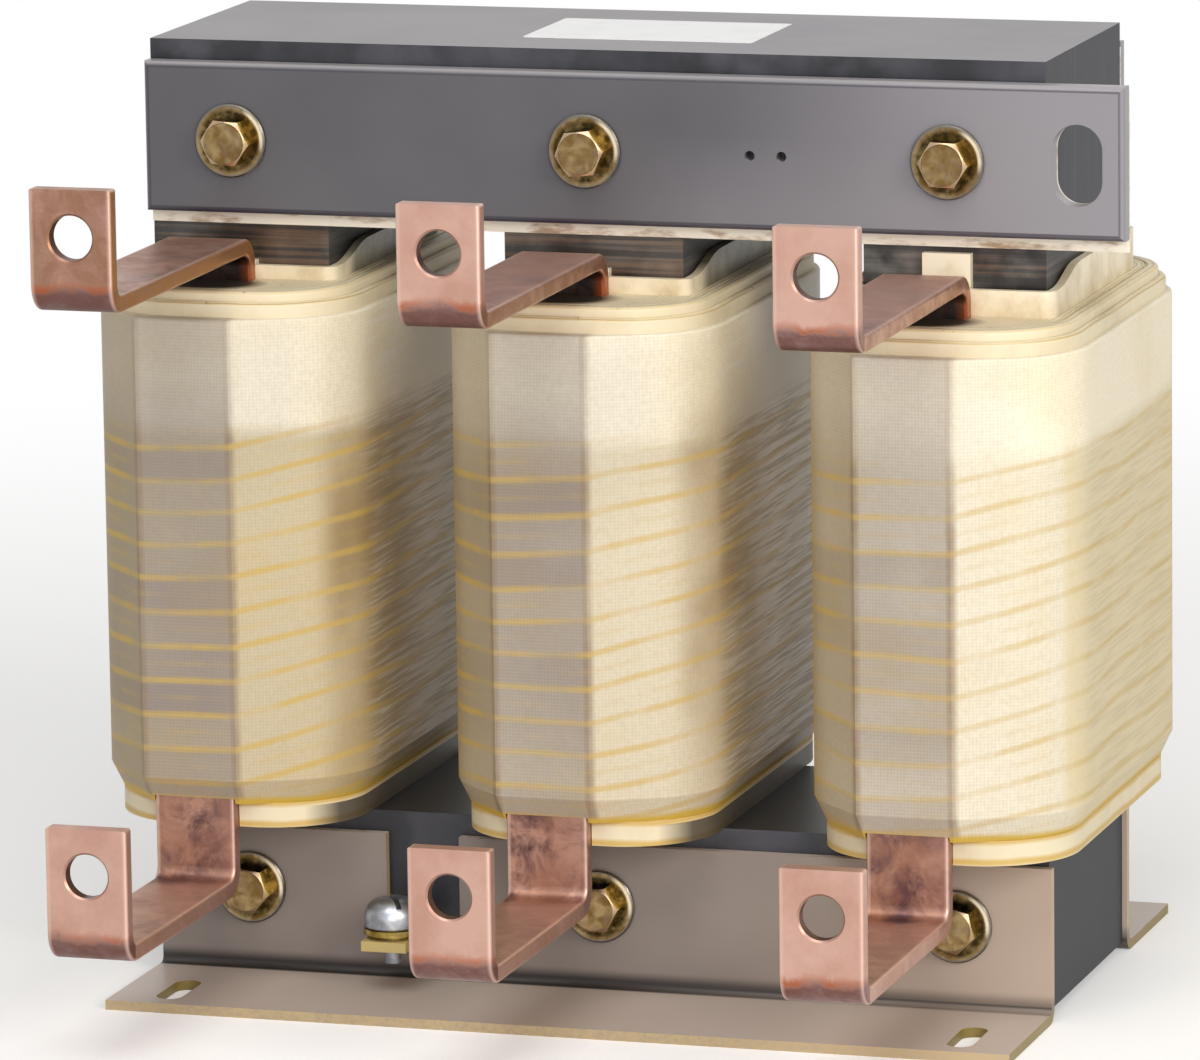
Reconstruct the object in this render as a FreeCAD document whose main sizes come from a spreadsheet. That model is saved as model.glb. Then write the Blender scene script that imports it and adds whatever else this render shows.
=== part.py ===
import FreeCAD, Part
import math
import os
import re

import Sketcher
from FreeCAD import Placement, Rotation, Vector

# Three-phase load-side reactor: three coils on a laminated core, with flat copper terminals.
# X runs along the core, Y from the terminals to the back, Z up from the floor under the feet.
# The origin is midway between the four foot slots. All sizes are in millimetres.

sizes = {
    # Laminated core
    "limb_width": 55,
    "window_width": 55,         # between neighbouring limbs
    "stack_depth": 90,          # build of the lamination stack
    "yoke_height": 50,
    "window_height": 182,       # from yoke to yoke
    "core_lift": 3,             # floor to the underside of the lower yoke
    "gap_thickness": 3,         # air-gap plate at each end of a limb
    # Clamping bars on the upper yoke
    "bar_height": 45,
    "bar_thickness": 6,
    "bar_drop": 1,              # the bars' lower edge below the yoke's underside
    "bar_overhang": 25,         # front bar beyond the core, for lifting
    "bar_edge": 2,              # rounded front edges
    "bar_bolt_height": 22,      # bolt line above the bar's lower edge
    "lift_slot_length": 24,
    "lift_slot_width": 15,
    "lift_slot_inset": 14,      # slot centre from the bar's end
    "tag_hole_diameter": 3,
    "tag_hole_spacing": 9.6,
    "tag_hole_place": 55,       # middle of the two small holes along X
    # Insulating liners between the bars and the upper yoke
    "liner_thickness": 1,
    "liner_drop": 3.8,          # shows below the bar's lower edge
    "liner_tuck": 1.5,          # below the bar's upper edge
    # Clamping angles on the lower yoke, which are also the feet
    "foot_overhang": 1.5,       # angle beyond the core, at each end
    "foot_reach": 54,           # from the core's face to the toe
    "foot_sheet": 3,
    "foot_bend": 2,             # inside radius of the fold
    "leg_height": 46.5,
    "foot_bolt_height": 28,
    "foot_slot_length": 24,
    "foot_slot_width": 8,
    "foot_slot_inset": 17,      # slot centre from the angle's end
    "foot_slot_toe": 17.5,      # slot centre from the toe
    # Earth tab, folded out of the front angle
    "notch_place": 43,          # left limb's axis to the notch
    "notch_width": 23,
    "tab_width": 14,
    "tab_top": 19,
    "tab_reach": 28,            # from the core's face
    "earth_inset": 9,           # screw axis from the tab's end
    "earth_diameter": 5,
    "earth_length": 11,         # thread under the head
    "earth_head_diameter": 17,
    "earth_head_height": 9,
    "earth_head_crown": 6,      # radius of the head's shoulder
    "earth_head_edge": 0.8,     # radius of the head's lower edge
    "earth_drive_width": 1.6,
    "earth_drive_depth": 2.4,
    "earth_washer_diameter": 17.5,
    "earth_washer_plate": 1.7,
    "earth_neck_diameter": 12,
    "earth_neck_height": 1.3,
    # Coil former
    "former_side_gap": 1,       # limb to former, along X
    "former_end_gap": 3,        # limb to former, along Y, filled by the wedge
    "former_wall": 2.5,
    "former_corner": 4,
    "former_headroom": 12,      # former's top to the upper yoke
    "former_dip": 4.5,          # front wall lower than the others
    "former_step_start": 7,     # the dip's ramp from the limb's front face
    "former_step_run": 16,
    "former_step_radius": 36,
    # Winding and its outer wrap
    "coil_gap": 27,             # between neighbouring coils
    "coil_overhang": 35,        # beyond the core's face, front and back
    "coil_corner": 31,
    "coil_headroom_left": 20.5, # winding's top to the upper yoke, each wound to its own height
    "coil_headroom_middle": 21.3,
    "coil_headroom_right": 24.3,
    "wrap_thickness": 4.5,
    "wrap_start": 7.5,          # above the coil's lower end
    "rim_height": 7.5,          # winding above the wrap
    "wrap_cover": 3,            # over the outer copper lead
    "wrap_margin": 2,           # flat facet past the lead's edges
    "wrap_shoulder_left": 18,   # coil front face back to the facet's corner
    "wrap_shoulder_right": 11,
    "wrap_taper": 3.6,
    "wrap_taper_height": 7.5,
    "wrap_edge": 1,
    "rim_inset": 1.8,           # winding's rim inside the wrap's outline
    "rim_edge": 1.2,
    "rim_tier_height": 3,       # rim's upper tier, the inner layers standing proud
    "rim_tier_inset": 4,        # upper tier inside the wrap's outline
    "rim_groove_inset": 7.5,
    "rim_groove_width": 0.8,
    "rim_groove_depth": 0.8,
    "skirt_inset": 3.5,         # winding's foot inside the wrap's outline
    # Wedge that holds the former on its limb
    "wedge_width": 14.5,
    "wedge_length": 54,
    "wedge_tip": 1.4,
    "wedge_shift": 1.8,         # left of the limb's axis
    "wedge_top_left": 1,        # wedge above the former's front wall
    "wedge_top_middle": 2,
    "wedge_top_right": 10,
    # Copper leads, drawn from one flat strip: start leads above, finish leads below
    "lead_width": 25,
    "lead_thickness": 5,
    "lead_bend": 3.5,           # inside radius
    "lead_round": 1,
    "lead_offset": -6,          # lead axis from the limb's axis
    "lead_reach": 90,           # coil's front to the terminals' front face
    "lead_tail": 60,            # length held inside the coil
    "start_tongue_height": 36.2,
    "finish_tongue_height": 40,
    "tongue_hole_diameter": 13,
    "tongue_hole_drop": 14,     # hole centre below the tongue's end
    "tongue_hole_chamfer": 0.6,
    "start_lead_lift": 8,       # run above the winding's rim
    "finish_lead_drop": 28,     # run below the wrap's lower edge
    # Clamping bolts
    "bolt_diameter": 8,
    "bolt_flats": 13,
    "bolt_corner_cut": 0.3,     # hexagon's flats to the round face
    "bolt_head": 5.5,
    "bolt_end": 4,              # thread beyond the nut
    "bolt_tip": 1,
    "nut_height": 6.5,
    "washer_diameter": 22,
    "washer_thickness": 1.8,
    "washer_edge": 0.4,
    "bolt_clearance": 0.5,      # radial, in bars and angles
    "sleeve_wall": 1,
    # Fits
    "fit_gap": 0.2,             # between pieces that slide together
}

doc = FreeCAD.newDocument("LoadReactor")
sheet = doc.addObject("Spreadsheet::Sheet", "Sizes")
for row, (alias, size) in enumerate(sizes.items(), start=1):
    sheet.set(f"A{row}", alias.replace("_", " "))
    sheet.set(f"B{row}", str(size))
    sheet.setAlias(f"B{row}", alias)
doc.recompute()

# Lengths, levels and places that several pieces share
limbPitch = "(limb_width + window_width)"
coreEnd = f"({limbPitch} + limb_width / 2)"
coreFace = "(stack_depth / 2)"
barFace = f"({coreFace} + liner_thickness)"
footEnd = f"({coreEnd} + foot_overhang)"
notchStart = f"(notch_place - {limbPitch})"
coilBase = "(core_lift + yoke_height)"
upperYoke = f"({coilBase} + window_height)"
barBase = f"({upperYoke} - bar_drop)"
upperBolts = f"({barBase} + bar_bolt_height)"
sleeveBore = "(bolt_diameter / 2 + fit_gap)"
sleeveOuter = f"({sleeveBore} + sleeve_wall)"
clampHole = "(bolt_diameter / 2 + bolt_clearance)"
formerX = "(limb_width / 2 + former_side_gap + former_wall)"
formerY = f"({coreFace} + former_end_gap + former_wall)"
formerHeight = "(window_height - former_headroom)"
formerLow = f"({formerHeight} - former_dip)"
coilX = f"(({limbPitch} - coil_gap) / 2)"
coilY = f"({coreFace} + coil_overhang)"
windingX = f"({coilX} - wrap_thickness)"
windingY = f"({coilY} - wrap_thickness)"
coilFront = f"({windingY} + lead_thickness + wrap_cover)"
leadSide = "(lead_width / 2 + fit_gap)"
leadFront = f"({coilFront} + lead_reach)"
beyond = "1"                    # cutting outlines run this far past the surface

phases = {"left": -1, "middle": 0, "right": 1}
coilHeights = {phase: f"(window_height - coil_headroom_{phase})" for phase in phases}
parts = []


def sized(text):
    # The same formula, with each size read from the sheet
    return re.sub(r"\b[a-z]\w*\b", lambda word: f"Sizes.{word[0]}" if word[0] in sizes else word[0], text)


def value(text):
    return float(sheet.evalExpression(text))


def bind(item, name, text):
    item.setExpression(name, sized(text))


def setPlace(part, x="0", y="0", z="0", turn=0):
    # Puts a piece in the reactor; turn is about the upright axis
    part.Placement = Placement(Vector(value(x), value(y), value(z)), Rotation(Vector(0, 0, 1), turn))
    for axis, text in zip("xyz", (x, y, z)):
        bind(part, f"Placement.Base.{axis}", text)
    parts.append(part)
    return part


def newBody(label):
    body = doc.addObject("PartDesign::Body", label)
    body.Label = label
    return body


def newSketch(body, name, plane, offset="0"):
    sketch = body.newObject("Sketcher::SketchObject", name)
    support = next(feature for feature in body.Origin.OriginFeatures if feature.Role == plane + "_Plane")
    sketch.AttachmentSupport = (support, [""])
    sketch.MapMode = "FlatFace"
    bind(sketch, "AttachmentOffset.Base.z", offset)
    return sketch


def fix(sketch, kind, references, text):
    index = sketch.addConstraint(Sketcher.Constraint(kind, *references, value(text)))
    sketch.setExpression(f"Constraints[{index}]", sized(text))


def fixPoint(sketch, geometry, end, x, y):
    fix(sketch, "DistanceX", (-1, 1, geometry, end), x)
    fix(sketch, "DistanceY", (-1, 1, geometry, end), y)


def addCircle(sketch, x, y, radius):
    centre = Vector(value(x), value(y), 0)
    circle = sketch.addGeometry(Part.Circle(centre, Vector(0, 0, 1), value(radius)), False)
    fixPoint(sketch, circle, 3, x, y)
    fix(sketch, "Radius", (circle,), radius)


def addArc(sketch, centre, radius, start, end):
    circle = Part.Circle(centre, Vector(0, 0, 1), radius)
    return sketch.addGeometry(Part.ArcOfCircle(circle, start, end), False)


def addOutline(sketch, corners):
    # A closed outline of straight lines, with its corners rounded where a radius is given
    points = [Vector(value(x), value(y), 0) for x, y, radius in corners]
    entries, exits, arcs = [], [], []
    for index, (x, y, radius) in enumerate(corners):
        here = points[index]
        if not radius:
            entries.append(here)
            exits.append(here)
            arcs.append(None)
            continue
        back = (points[index - 1] - here).normalize()
        ahead = (points[(index + 1) % len(points)] - here).normalize()
        half = back.getAngle(ahead) / 2
        reach = value(radius) / math.tan(half)
        centre = here + (back + ahead).normalize() * (value(radius) / math.sin(half))
        entries.append(here + back * reach)
        exits.append(here + ahead * reach)
        leftTurn = back.cross(ahead).z < 0
        first, last = (entries[-1], exits[-1]) if leftTurn else (exits[-1], entries[-1])
        start = math.atan2(first.y - centre.y, first.x - centre.x)
        end = math.atan2(last.y - centre.y, last.x - centre.x)
        if end < start:
            end += 2 * math.pi
        arcs.append((addArc(sketch, centre, value(radius), start, end), leftTurn))
    lines = []
    for index, leave in enumerate(exits):
        arrive = entries[(index + 1) % len(points)]
        lines.append(sketch.addGeometry(Part.LineSegment(leave, arrive), False))
    for index, (x, y, radius) in enumerate(corners):
        before, after = lines[index - 1], lines[index]
        if not radius:
            sketch.addConstraint(Sketcher.Constraint("Coincident", before, 2, after, 1))
            fixPoint(sketch, after, 1, x, y)
            continue
        arc, leftTurn = arcs[index]
        begin, finish = (1, 2) if leftTurn else (2, 1)
        sketch.addConstraint(Sketcher.Constraint("Tangent", before, 2, arc, begin))
        sketch.addConstraint(Sketcher.Constraint("Tangent", arc, finish, after, 1))
        fix(sketch, "Radius", (arc,), radius)
        corner = sketch.addGeometry(Part.Point(points[index]), True)
        sketch.addConstraint(Sketcher.Constraint("PointOnObject", corner, 1, before))
        sketch.addConstraint(Sketcher.Constraint("PointOnObject", corner, 1, after))
        fixPoint(sketch, corner, 1, x, y)


def addRectangle(sketch, halfX, halfY, radius=None):
    signs = ((1, 1), (-1, 1), (-1, -1), (1, -1))
    addOutline(sketch, [(f"{sx} * {halfX}", f"{sy} * {halfY}", radius) for sx, sy in signs])


def addBox(sketch, x0, x1, y0, y1):
    addOutline(sketch, [(x1, y1, None), (x0, y1, None), (x0, y0, None), (x1, y0, None)])


def addSlot(sketch, x, y, length, width):
    # A slot with round ends, upright in the sketch
    radius = f"({width} / 2)"
    reach = f"(({length} - {width}) / 2)"
    centres = (f"{y} + {reach}", f"{y} - {reach}")
    r = value(radius)
    ends = []
    for level, start in zip(centres, (0, math.pi)):
        ends.append(addArc(sketch, Vector(value(x), value(level), 0), r, start, start + math.pi))
    top, bottom = value(centres[0]), value(centres[1])
    left, right = value(x) - r, value(x) + r
    leftLine = sketch.addGeometry(Part.LineSegment(Vector(left, top, 0), Vector(left, bottom, 0)), False)
    rightLine = sketch.addGeometry(Part.LineSegment(Vector(right, bottom, 0), Vector(right, top, 0)), False)
    for pair in ((ends[0], 2, leftLine, 1), (leftLine, 2, ends[1], 1),
                 (ends[1], 2, rightLine, 1), (rightLine, 2, ends[0], 1)):
        sketch.addConstraint(Sketcher.Constraint("Tangent", *pair))
    for arc, level in zip(ends, centres):
        fixPoint(sketch, arc, 3, x, level)
    sketch.addConstraint(Sketcher.Constraint("Equal", ends[0], ends[1]))
    fix(sketch, "Radius", (ends[0],), radius)


def addHexagon(sketch, flats):
    # Flats at the top and bottom, corners to the sides
    corner = f"({flats} / 3 ^ 0.5)"
    places = ((1, 0), (0.5, 0.5), (-0.5, 0.5), (-1, 0), (-0.5, -0.5), (0.5, -0.5))
    addOutline(sketch, [(f"{px} * {corner}", f"{py} * {flats}", None) for px, py in places])


def addPad(body, sketch, length, symmetric=False, flip=False):
    pad = body.newObject("PartDesign::Pad", "Pad")
    pad.Profile = sketch
    bind(pad, "Length", length)
    pad.SideType = "Symmetric" if symmetric else "One side"
    pad.Reversed = flip
    doc.recompute()
    return pad


def addPocket(body, sketch, depth=None, flip=False):
    # Cuts to a depth, or right through both ways when no depth is given
    before = body.Shape.Volume
    pocket = body.newObject("PartDesign::Pocket", "Pocket")
    pocket.Profile = sketch
    if depth:
        pocket.Type = "Length"
        bind(pocket, "Length", depth)
        pocket.Reversed = flip
    else:
        pocket.Type = "ThroughAll"
        pocket.SideType = "Symmetric"
    doc.recompute()
    if body.Shape.Volume > before - 0.1:
        raise RuntimeError(f"{sketch.Name} cuts nothing from {body.Label}")
    return pocket


def addGroove(body, sketch, axis):
    before = body.Shape.Volume
    groove = body.newObject("PartDesign::Groove", "Groove")
    groove.Profile = sketch
    groove.ReferenceAxis = (sketch, [axis])
    groove.Angle = 360
    doc.recompute()
    if body.Shape.Volume > before - 0.1:
        raise RuntimeError(f"{sketch.Name} cuts nothing from {body.Label}")
    return groove


def findEdges(feature, test):
    # Names of the feature's edges for which the test holds
    return [f"Edge{index}" for index, edge in enumerate(feature.Shape.Edges, start=1) if test(edge)]


def near(number, text):
    return abs(number - value(text)) < 0.01


def addFillet(body, edges, radius):
    base = body.Tip
    fillet = body.newObject("PartDesign::Fillet", "Fillet")
    fillet.Base = (base, edges)
    bind(fillet, "Radius", radius)
    doc.recompute()
    return fillet


def addChamfer(body, edges, size):
    base = body.Tip
    chamfer = body.newObject("PartDesign::Chamfer", "Chamfer")
    chamfer.Base = (base, edges)
    bind(chamfer, "Size", size)
    doc.recompute()
    return chamfer


def isRing(edge, radius):
    return isinstance(edge.Curve, Part.Circle) and near(edge.Curve.Radius, radius)


# Core: two yokes, three limbs and the plates in their air gaps
def makeYoke(label, level, bolts):
    body = newBody(label)
    outline = newSketch(body, "Outline", "XY")
    addRectangle(outline, coreEnd, coreFace)
    addPad(body, outline, "yoke_height")
    holes = newSketch(body, "BoltHoles", "XZ")
    for side in phases.values():
        addCircle(holes, f"{side} * {limbPitch}", f"{bolts} - {level}", f"{sleeveOuter} + fit_gap")
    addPocket(body, holes)
    return setPlace(body, z=level)


def makeStack(label, side, layers):
    # Blocks over a limb's outline, each from a level above the lower yoke and with its height
    body = newBody(label)
    for index, (level, height) in enumerate(layers):
        outline = newSketch(body, f"Outline{index}", "XY", level)
        addRectangle(outline, "limb_width / 2", coreFace)
        addPad(body, outline, height)
    return setPlace(body, x=f"{side} * {limbPitch}", z=coilBase)


makeYoke("lower_yoke", "core_lift", "foot_bolt_height")
makeYoke("upper_yoke", upperYoke, upperBolts)
for phase, side in phases.items():
    makeStack(f"{phase}_limb", side, [("gap_thickness", "window_height - 2 * gap_thickness")])
    makeStack(f"{phase}_gap_plates", side,
              [("0", "gap_thickness"), ("window_height - gap_thickness", "gap_thickness")])


# Clamping bars and the board liners behind them, the front pair longer for its lifting slot
def makeStrip(label, low, high, thickness, edge, overhang, lifting, place, turn):
    # Low and high are above the bar's lower edge; a bar's outer edges are rounded, a liner's are sheared
    body = newBody(label)
    face = newSketch(body, "Face", "XZ")
    addBox(face, f"-{coreEnd}", f"{coreEnd} + {overhang}", low, high)
    pad = addPad(body, face, thickness)
    if edge:
        addFillet(body, findEdges(pad, lambda side: near(side.CenterOfMass.y, f"-{thickness}")), edge)
    holes = newSketch(body, "Holes", "XZ")
    for side in phases.values():
        addCircle(holes, f"{side} * {limbPitch}", "bar_bolt_height", clampHole)
    if lifting:
        for side in (-1, 1):
            across = f"tag_hole_place + {side} * tag_hole_spacing / 2"
            addCircle(holes, across, "bar_bolt_height", "tag_hole_diameter / 2")
        end = f"{coreEnd} + {overhang} - lift_slot_inset"
        addSlot(holes, end, "bar_bolt_height", "lift_slot_length", "lift_slot_width")
    addPocket(body, holes)
    return setPlace(body, y=place, z=barBase, turn=turn)


for end, way, turn, overhang in (("front", "-", 0, "bar_overhang"), ("back", "", 180, "0")):
    lifting = end == "front"
    makeStrip(f"{end}_top_bar", "0", "bar_height", "bar_thickness", "bar_edge", overhang, lifting,
              way + barFace, turn)
    makeStrip(f"{end}_bar_liner", "-liner_drop", "bar_height - liner_tuck", "liner_thickness", None,
              overhang, lifting, way + coreFace, turn)


# Foot angles: one folded sheet each, with two floor slots; the front one carries the earth tab
def makeFootAngle(label, earthed, place, turn):
    body = newBody(label)
    tabRoot = "(tab_top - foot_sheet - foot_bend)"
    fold = newSketch(body, "Fold", "YZ")
    addOutline(fold, [
        ("0", "leg_height", None),
        ("-foot_sheet", "leg_height", None),
        ("-foot_sheet", "foot_sheet", "foot_bend"),
        ("-foot_reach", "foot_sheet", None),
        ("-foot_reach", "0", None),
        ("0", "0", "(foot_bend + foot_sheet)"),
    ])
    addPad(body, fold, f"2 * {footEnd}", symmetric=True)
    holes = newSketch(body, "BoltHoles", "XZ")
    for side in phases.values():
        addCircle(holes, f"{side} * {limbPitch}", "foot_bolt_height", clampHole)
    if earthed:
        addBox(holes, notchStart, f"{notchStart} + notch_width", tabRoot, f"leg_height + {beyond}")
    addPocket(body, holes)
    slots = newSketch(body, "FloorSlots", "XY")
    for side in (-1, 1):
        addSlot(slots, f"{side} * ({footEnd} - foot_slot_inset)", "(foot_slot_toe - foot_reach)",
                "foot_slot_length", "foot_slot_width")
    addPocket(body, slots)
    if earthed:
        tab = newSketch(body, "EarthTab", "YZ", notchStart)
        addOutline(tab, [
            ("0", f"{tabRoot} - {beyond}", None),
            ("0", "tab_top", "(foot_bend + foot_sheet)"),
            ("-tab_reach", "tab_top", None),
            ("-tab_reach", "tab_top - foot_sheet", None),
            ("-foot_sheet", "tab_top - foot_sheet", "foot_bend"),
            ("-foot_sheet", f"{tabRoot} - {beyond}", None),
        ])
        addPad(body, tab, "tab_width")
        hole = newSketch(body, "EarthHole", "XY", "tab_top")
        addCircle(hole, f"{notchStart} + tab_width / 2", "earth_inset - tab_reach",
                  "earth_diameter / 2 + fit_gap")
        addPocket(body, hole, "foot_sheet")
    return setPlace(body, y=place, turn=turn)


makeFootAngle("front_foot_angle", True, f"-{coreFace}", 0)
makeFootAngle("back_foot_angle", False, coreFace, 180)


# Coil former: a tube round the limb, with its front wall lower than the rest
def makeFormer(label, side):
    body = newBody(label)
    outline = newSketch(body, "Outline", "XY")
    addRectangle(outline, formerX, formerY, "former_corner")
    addPad(body, outline, formerHeight)
    bore = newSketch(body, "Bore", "XY")
    addRectangle(bore, f"({formerX} - former_wall)", f"({formerY} - former_wall)",
                 "(former_corner - former_wall)")
    addPocket(body, bore)
    dip = newSketch(body, "FrontDip", "YZ")
    front = f"-{formerY} - {beyond}"
    above = f"{formerHeight} + {beyond}"
    rampStart = f"former_step_start - {coreFace}"
    rampEnd = f"{rampStart} + former_step_run"
    level = f"{rampEnd} + former_step_run"
    addOutline(dip, [
        (front, above, None),
        (front, formerLow, None),
        (rampStart, formerLow, "former_step_radius"),
        (rampEnd, formerHeight, "former_step_radius"),
        (level, formerHeight, None),
        (level, above, None),
    ])
    addPocket(body, dip)
    return setPlace(body, x=f"{side} * {limbPitch}", z=coilBase)


# Winding: layers on the former, with a rim in two tiers above the wrap and a skirt below it
def addRing(body, name, level, inset, height):
    # The coil's outline, drawn in by the inset
    ring = newSketch(body, name, "XY", level)
    addRectangle(ring, f"({coilX} - {inset})", f"({coilY} - {inset})", f"(coil_corner - {inset})")
    return addPad(body, ring, height)


def roundRing(body, pad, level, inset, radius):
    # Rounds the outer edge that such a ring has at a level
    def onRing(edge):
        centre = edge.CenterOfMass
        straight = near(abs(centre.x), f"{coilX} - {inset}") or near(abs(centre.y), f"{coilY} - {inset}")
        return near(centre.z, level) and (straight or isRing(edge, f"coil_corner - {inset}"))
    addFillet(body, findEdges(pad, onRing), radius)


def makeWinding(label, side, coilHeight):
    body = newBody(label)
    tierBase = f"({coilHeight} - rim_tier_height)"
    addRing(body, "Layers", "0", "wrap_thickness", coilHeight)
    addRing(body, "Skirt", "0", "skirt_inset", "wrap_start")
    rim = addRing(body, "Rim", f"{coilHeight} - rim_height", "rim_inset", "rim_height - rim_tier_height")
    roundRing(body, rim, tierBase, "rim_inset", "rim_edge")
    tier = addRing(body, "UpperTier", tierBase, "rim_tier_inset", "rim_tier_height")
    roundRing(body, tier, coilHeight, "rim_tier_inset", "rim_edge")
    bore = newSketch(body, "Bore", "XY")
    addRectangle(bore, f"({formerX} + fit_gap)", f"({formerY} + fit_gap)", "(former_corner + fit_gap)")
    addPocket(body, bore)
    groove = newSketch(body, "RimGroove", "XY", coilHeight)
    for inset in ("rim_groove_inset", "(rim_groove_inset + rim_groove_width)"):
        addRectangle(groove, f"({coilX} - {inset})", f"({coilY} - {inset})", f"(coil_corner - {inset})")
    addPocket(body, groove, "rim_groove_depth")
    startSlot = newSketch(body, "StartLeadSlot", "XY", coilHeight)
    addBox(startSlot, f"lead_offset - {leadSide}", f"lead_offset + {leadSide}",
           f"-{formerY} - 2 * fit_gap - lead_thickness", f"-{formerY}")
    addPocket(body, startSlot, "lead_tail")
    finishSlot = newSketch(body, "FinishLeadSlot", "XY")
    addBox(finishSlot, f"lead_offset - {leadSide}", f"lead_offset + {leadSide}",
           f"-{coilY}", f"-{windingY}")
    addPocket(body, finishSlot, "wrap_start", flip=True)
    return setPlace(body, x=f"{side} * {limbPitch}", z=coilBase)


# Wrap: the glass-tape bandage, flat over the outer lead and tapered at its lower edge
def makeWrap(label, side, coilHeight):
    body = newBody(label)
    wrapHeight = f"({coilHeight} - wrap_start - rim_height)"
    outline = newSketch(body, "Outline", "XY", "wrap_taper_height")
    addOutline(outline, [
        (coilX, coilY, "coil_corner"),
        (f"-{coilX}", coilY, "coil_corner"),
        (f"-{coilX}", f"wrap_shoulder_left - {coilY}", "coil_corner"),
        ("lead_offset - lead_width / 2 - wrap_margin", f"-{coilFront}", None),
        ("lead_offset + lead_width / 2 + wrap_margin", f"-{coilFront}", None),
        (coilX, f"wrap_shoulder_right - {coilY}", "coil_corner"),
    ])
    pad = addPad(body, outline, f"{wrapHeight} - wrap_taper_height")
    upper = findEdges(pad, lambda edge: near(edge.CenterOfMass.z, wrapHeight))
    addFillet(body, upper, "wrap_edge")
    taper = addPad(body, outline, "wrap_taper_height", flip=True)
    bind(taper, "TaperAngle", "-atan(wrap_taper / wrap_taper_height)")
    doc.recompute()
    bore = newSketch(body, "Bore", "XY")
    addRectangle(bore, f"({windingX} + fit_gap)", f"({windingY} + fit_gap)",
                 "(coil_corner - wrap_thickness + fit_gap)")
    addPocket(body, bore)
    channel = newSketch(body, "LeadChannel", "XY")
    addBox(channel, f"lead_offset - {leadSide}", f"lead_offset + {leadSide}",
           f"-{windingY} - lead_thickness - fit_gap", f"-{windingY} + {beyond}")
    addPocket(body, channel, "lead_tail + fit_gap", flip=True)
    return setPlace(body, x=f"{side} * {limbPitch}", z=f"{coilBase} + wrap_start")


# Wedge: a tapered strip driven between the limb and the former's front wall
def makeWedge(label, side, proud):
    body = newBody(label)
    thickness = "(former_end_gap - fit_gap)"
    profile = newSketch(body, "Profile", "YZ")
    addOutline(profile, [
        ("0", "0", None),
        ("0", "-wedge_length", None),
        ("-wedge_tip", "-wedge_length", None),
        (f"-{thickness}", "-wedge_length / 2", None),
        (f"-{thickness}", "0", None),
    ])
    addPad(body, profile, "wedge_width", symmetric=True)
    level = f"{coilBase} + {formerLow} + {proud}"
    return setPlace(body, x=f"{side} * {limbPitch} - wedge_shift", y=f"-{coreFace} - fit_gap / 2", z=level)


for phase, side in phases.items():
    makeFormer(f"{phase}_coil_former", side)
    makeWinding(f"{phase}_winding", side, coilHeights[phase])
    makeWrap(f"{phase}_coil_wrap", side, coilHeights[phase])
    makeWedge(f"{phase}_wedge", side, f"wedge_top_{phase}")


# Copper leads: flat strip, bent twice, with a bolt hole in its upright tongue
def makeLead(label, side, back, run, tongue, tail, tailUp):
    body = newBody(label)
    outer = "(lead_bend + lead_thickness)"
    front = f"-{leadFront}"
    tongueBack = f"lead_thickness - {leadFront}"
    tailFront = f"{back} - lead_thickness"
    under, over, top = run, f"{run} + lead_thickness", f"{run} + {tongue}"
    if tailUp:
        corners = [
            (back, tail, None),
            (tailFront, tail, None),
            (tailFront, over, "lead_bend"),
            (tongueBack, over, "lead_bend"),
            (tongueBack, top, None),
            (front, top, None),
            (front, under, outer),
            (back, under, outer),
        ]
    else:
        corners = [
            (back, tail, None),
            (back, over, outer),
            (tongueBack, over, "lead_bend"),
            (tongueBack, top, None),
            (front, top, None),
            (front, under, outer),
            (tailFront, under, "lead_bend"),
            (tailFront, tail, None),
        ]
    profile = newSketch(body, "Profile", "YZ")
    addOutline(profile, corners)
    pad = addPad(body, profile, "lead_width", symmetric=True)
    sides = findEdges(pad, lambda edge: near(abs(edge.CenterOfMass.x), "lead_width / 2"))
    addFillet(body, sides, "lead_round")
    hole = newSketch(body, "BoltHole", "XZ", leadFront)
    addCircle(hole, "0", f"{top} - tongue_hole_drop", "tongue_hole_diameter / 2")
    pocket = addPocket(body, hole, "lead_thickness")
    rings = findEdges(pocket, lambda edge: isRing(edge, "tongue_hole_diameter / 2"))
    addChamfer(body, rings, "tongue_hole_chamfer")
    return setPlace(body, x=f"{side} * {limbPitch} + lead_offset")


finishRun = f"({coilBase} + wrap_start - finish_lead_drop)"
finishTail = f"({coilBase} + wrap_start + lead_tail)"
for phase, side in phases.items():
    coilTop = f"{coilBase} + {coilHeights[phase]}"
    makeLead(f"{phase}_start_lead", side, f"-{formerY} - fit_gap", f"({coilTop} + start_lead_lift)",
             "start_tongue_height", f"({coilTop} - lead_tail + fit_gap)", False)
    makeLead(f"{phase}_finish_lead", side, f"-{windingY}", finishRun,
             "finish_tongue_height", finishTail, True)


# Clamping bolts with their washers, nuts and insulating sleeves
def cutCorners(body, flats, levels):
    # The 30 degree chamfer that rounds a hexagon's corners off at each given end
    flat = f"({flats} / 2 - bolt_corner_cut)"
    rim = f"({flats} / 3 ^ 0.5 + {beyond})"
    for index, (level, inward) in enumerate(levels):
        sketch = newSketch(body, f"Corners{index}", "YZ")
        addOutline(sketch, [
            (level, flat, None),
            (f"{level} + {inward} * ({rim} - {flat}) * tan(30)", rim, None),
            (level, rim, None),
        ])
        addGroove(body, sketch, "H_Axis")


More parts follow.
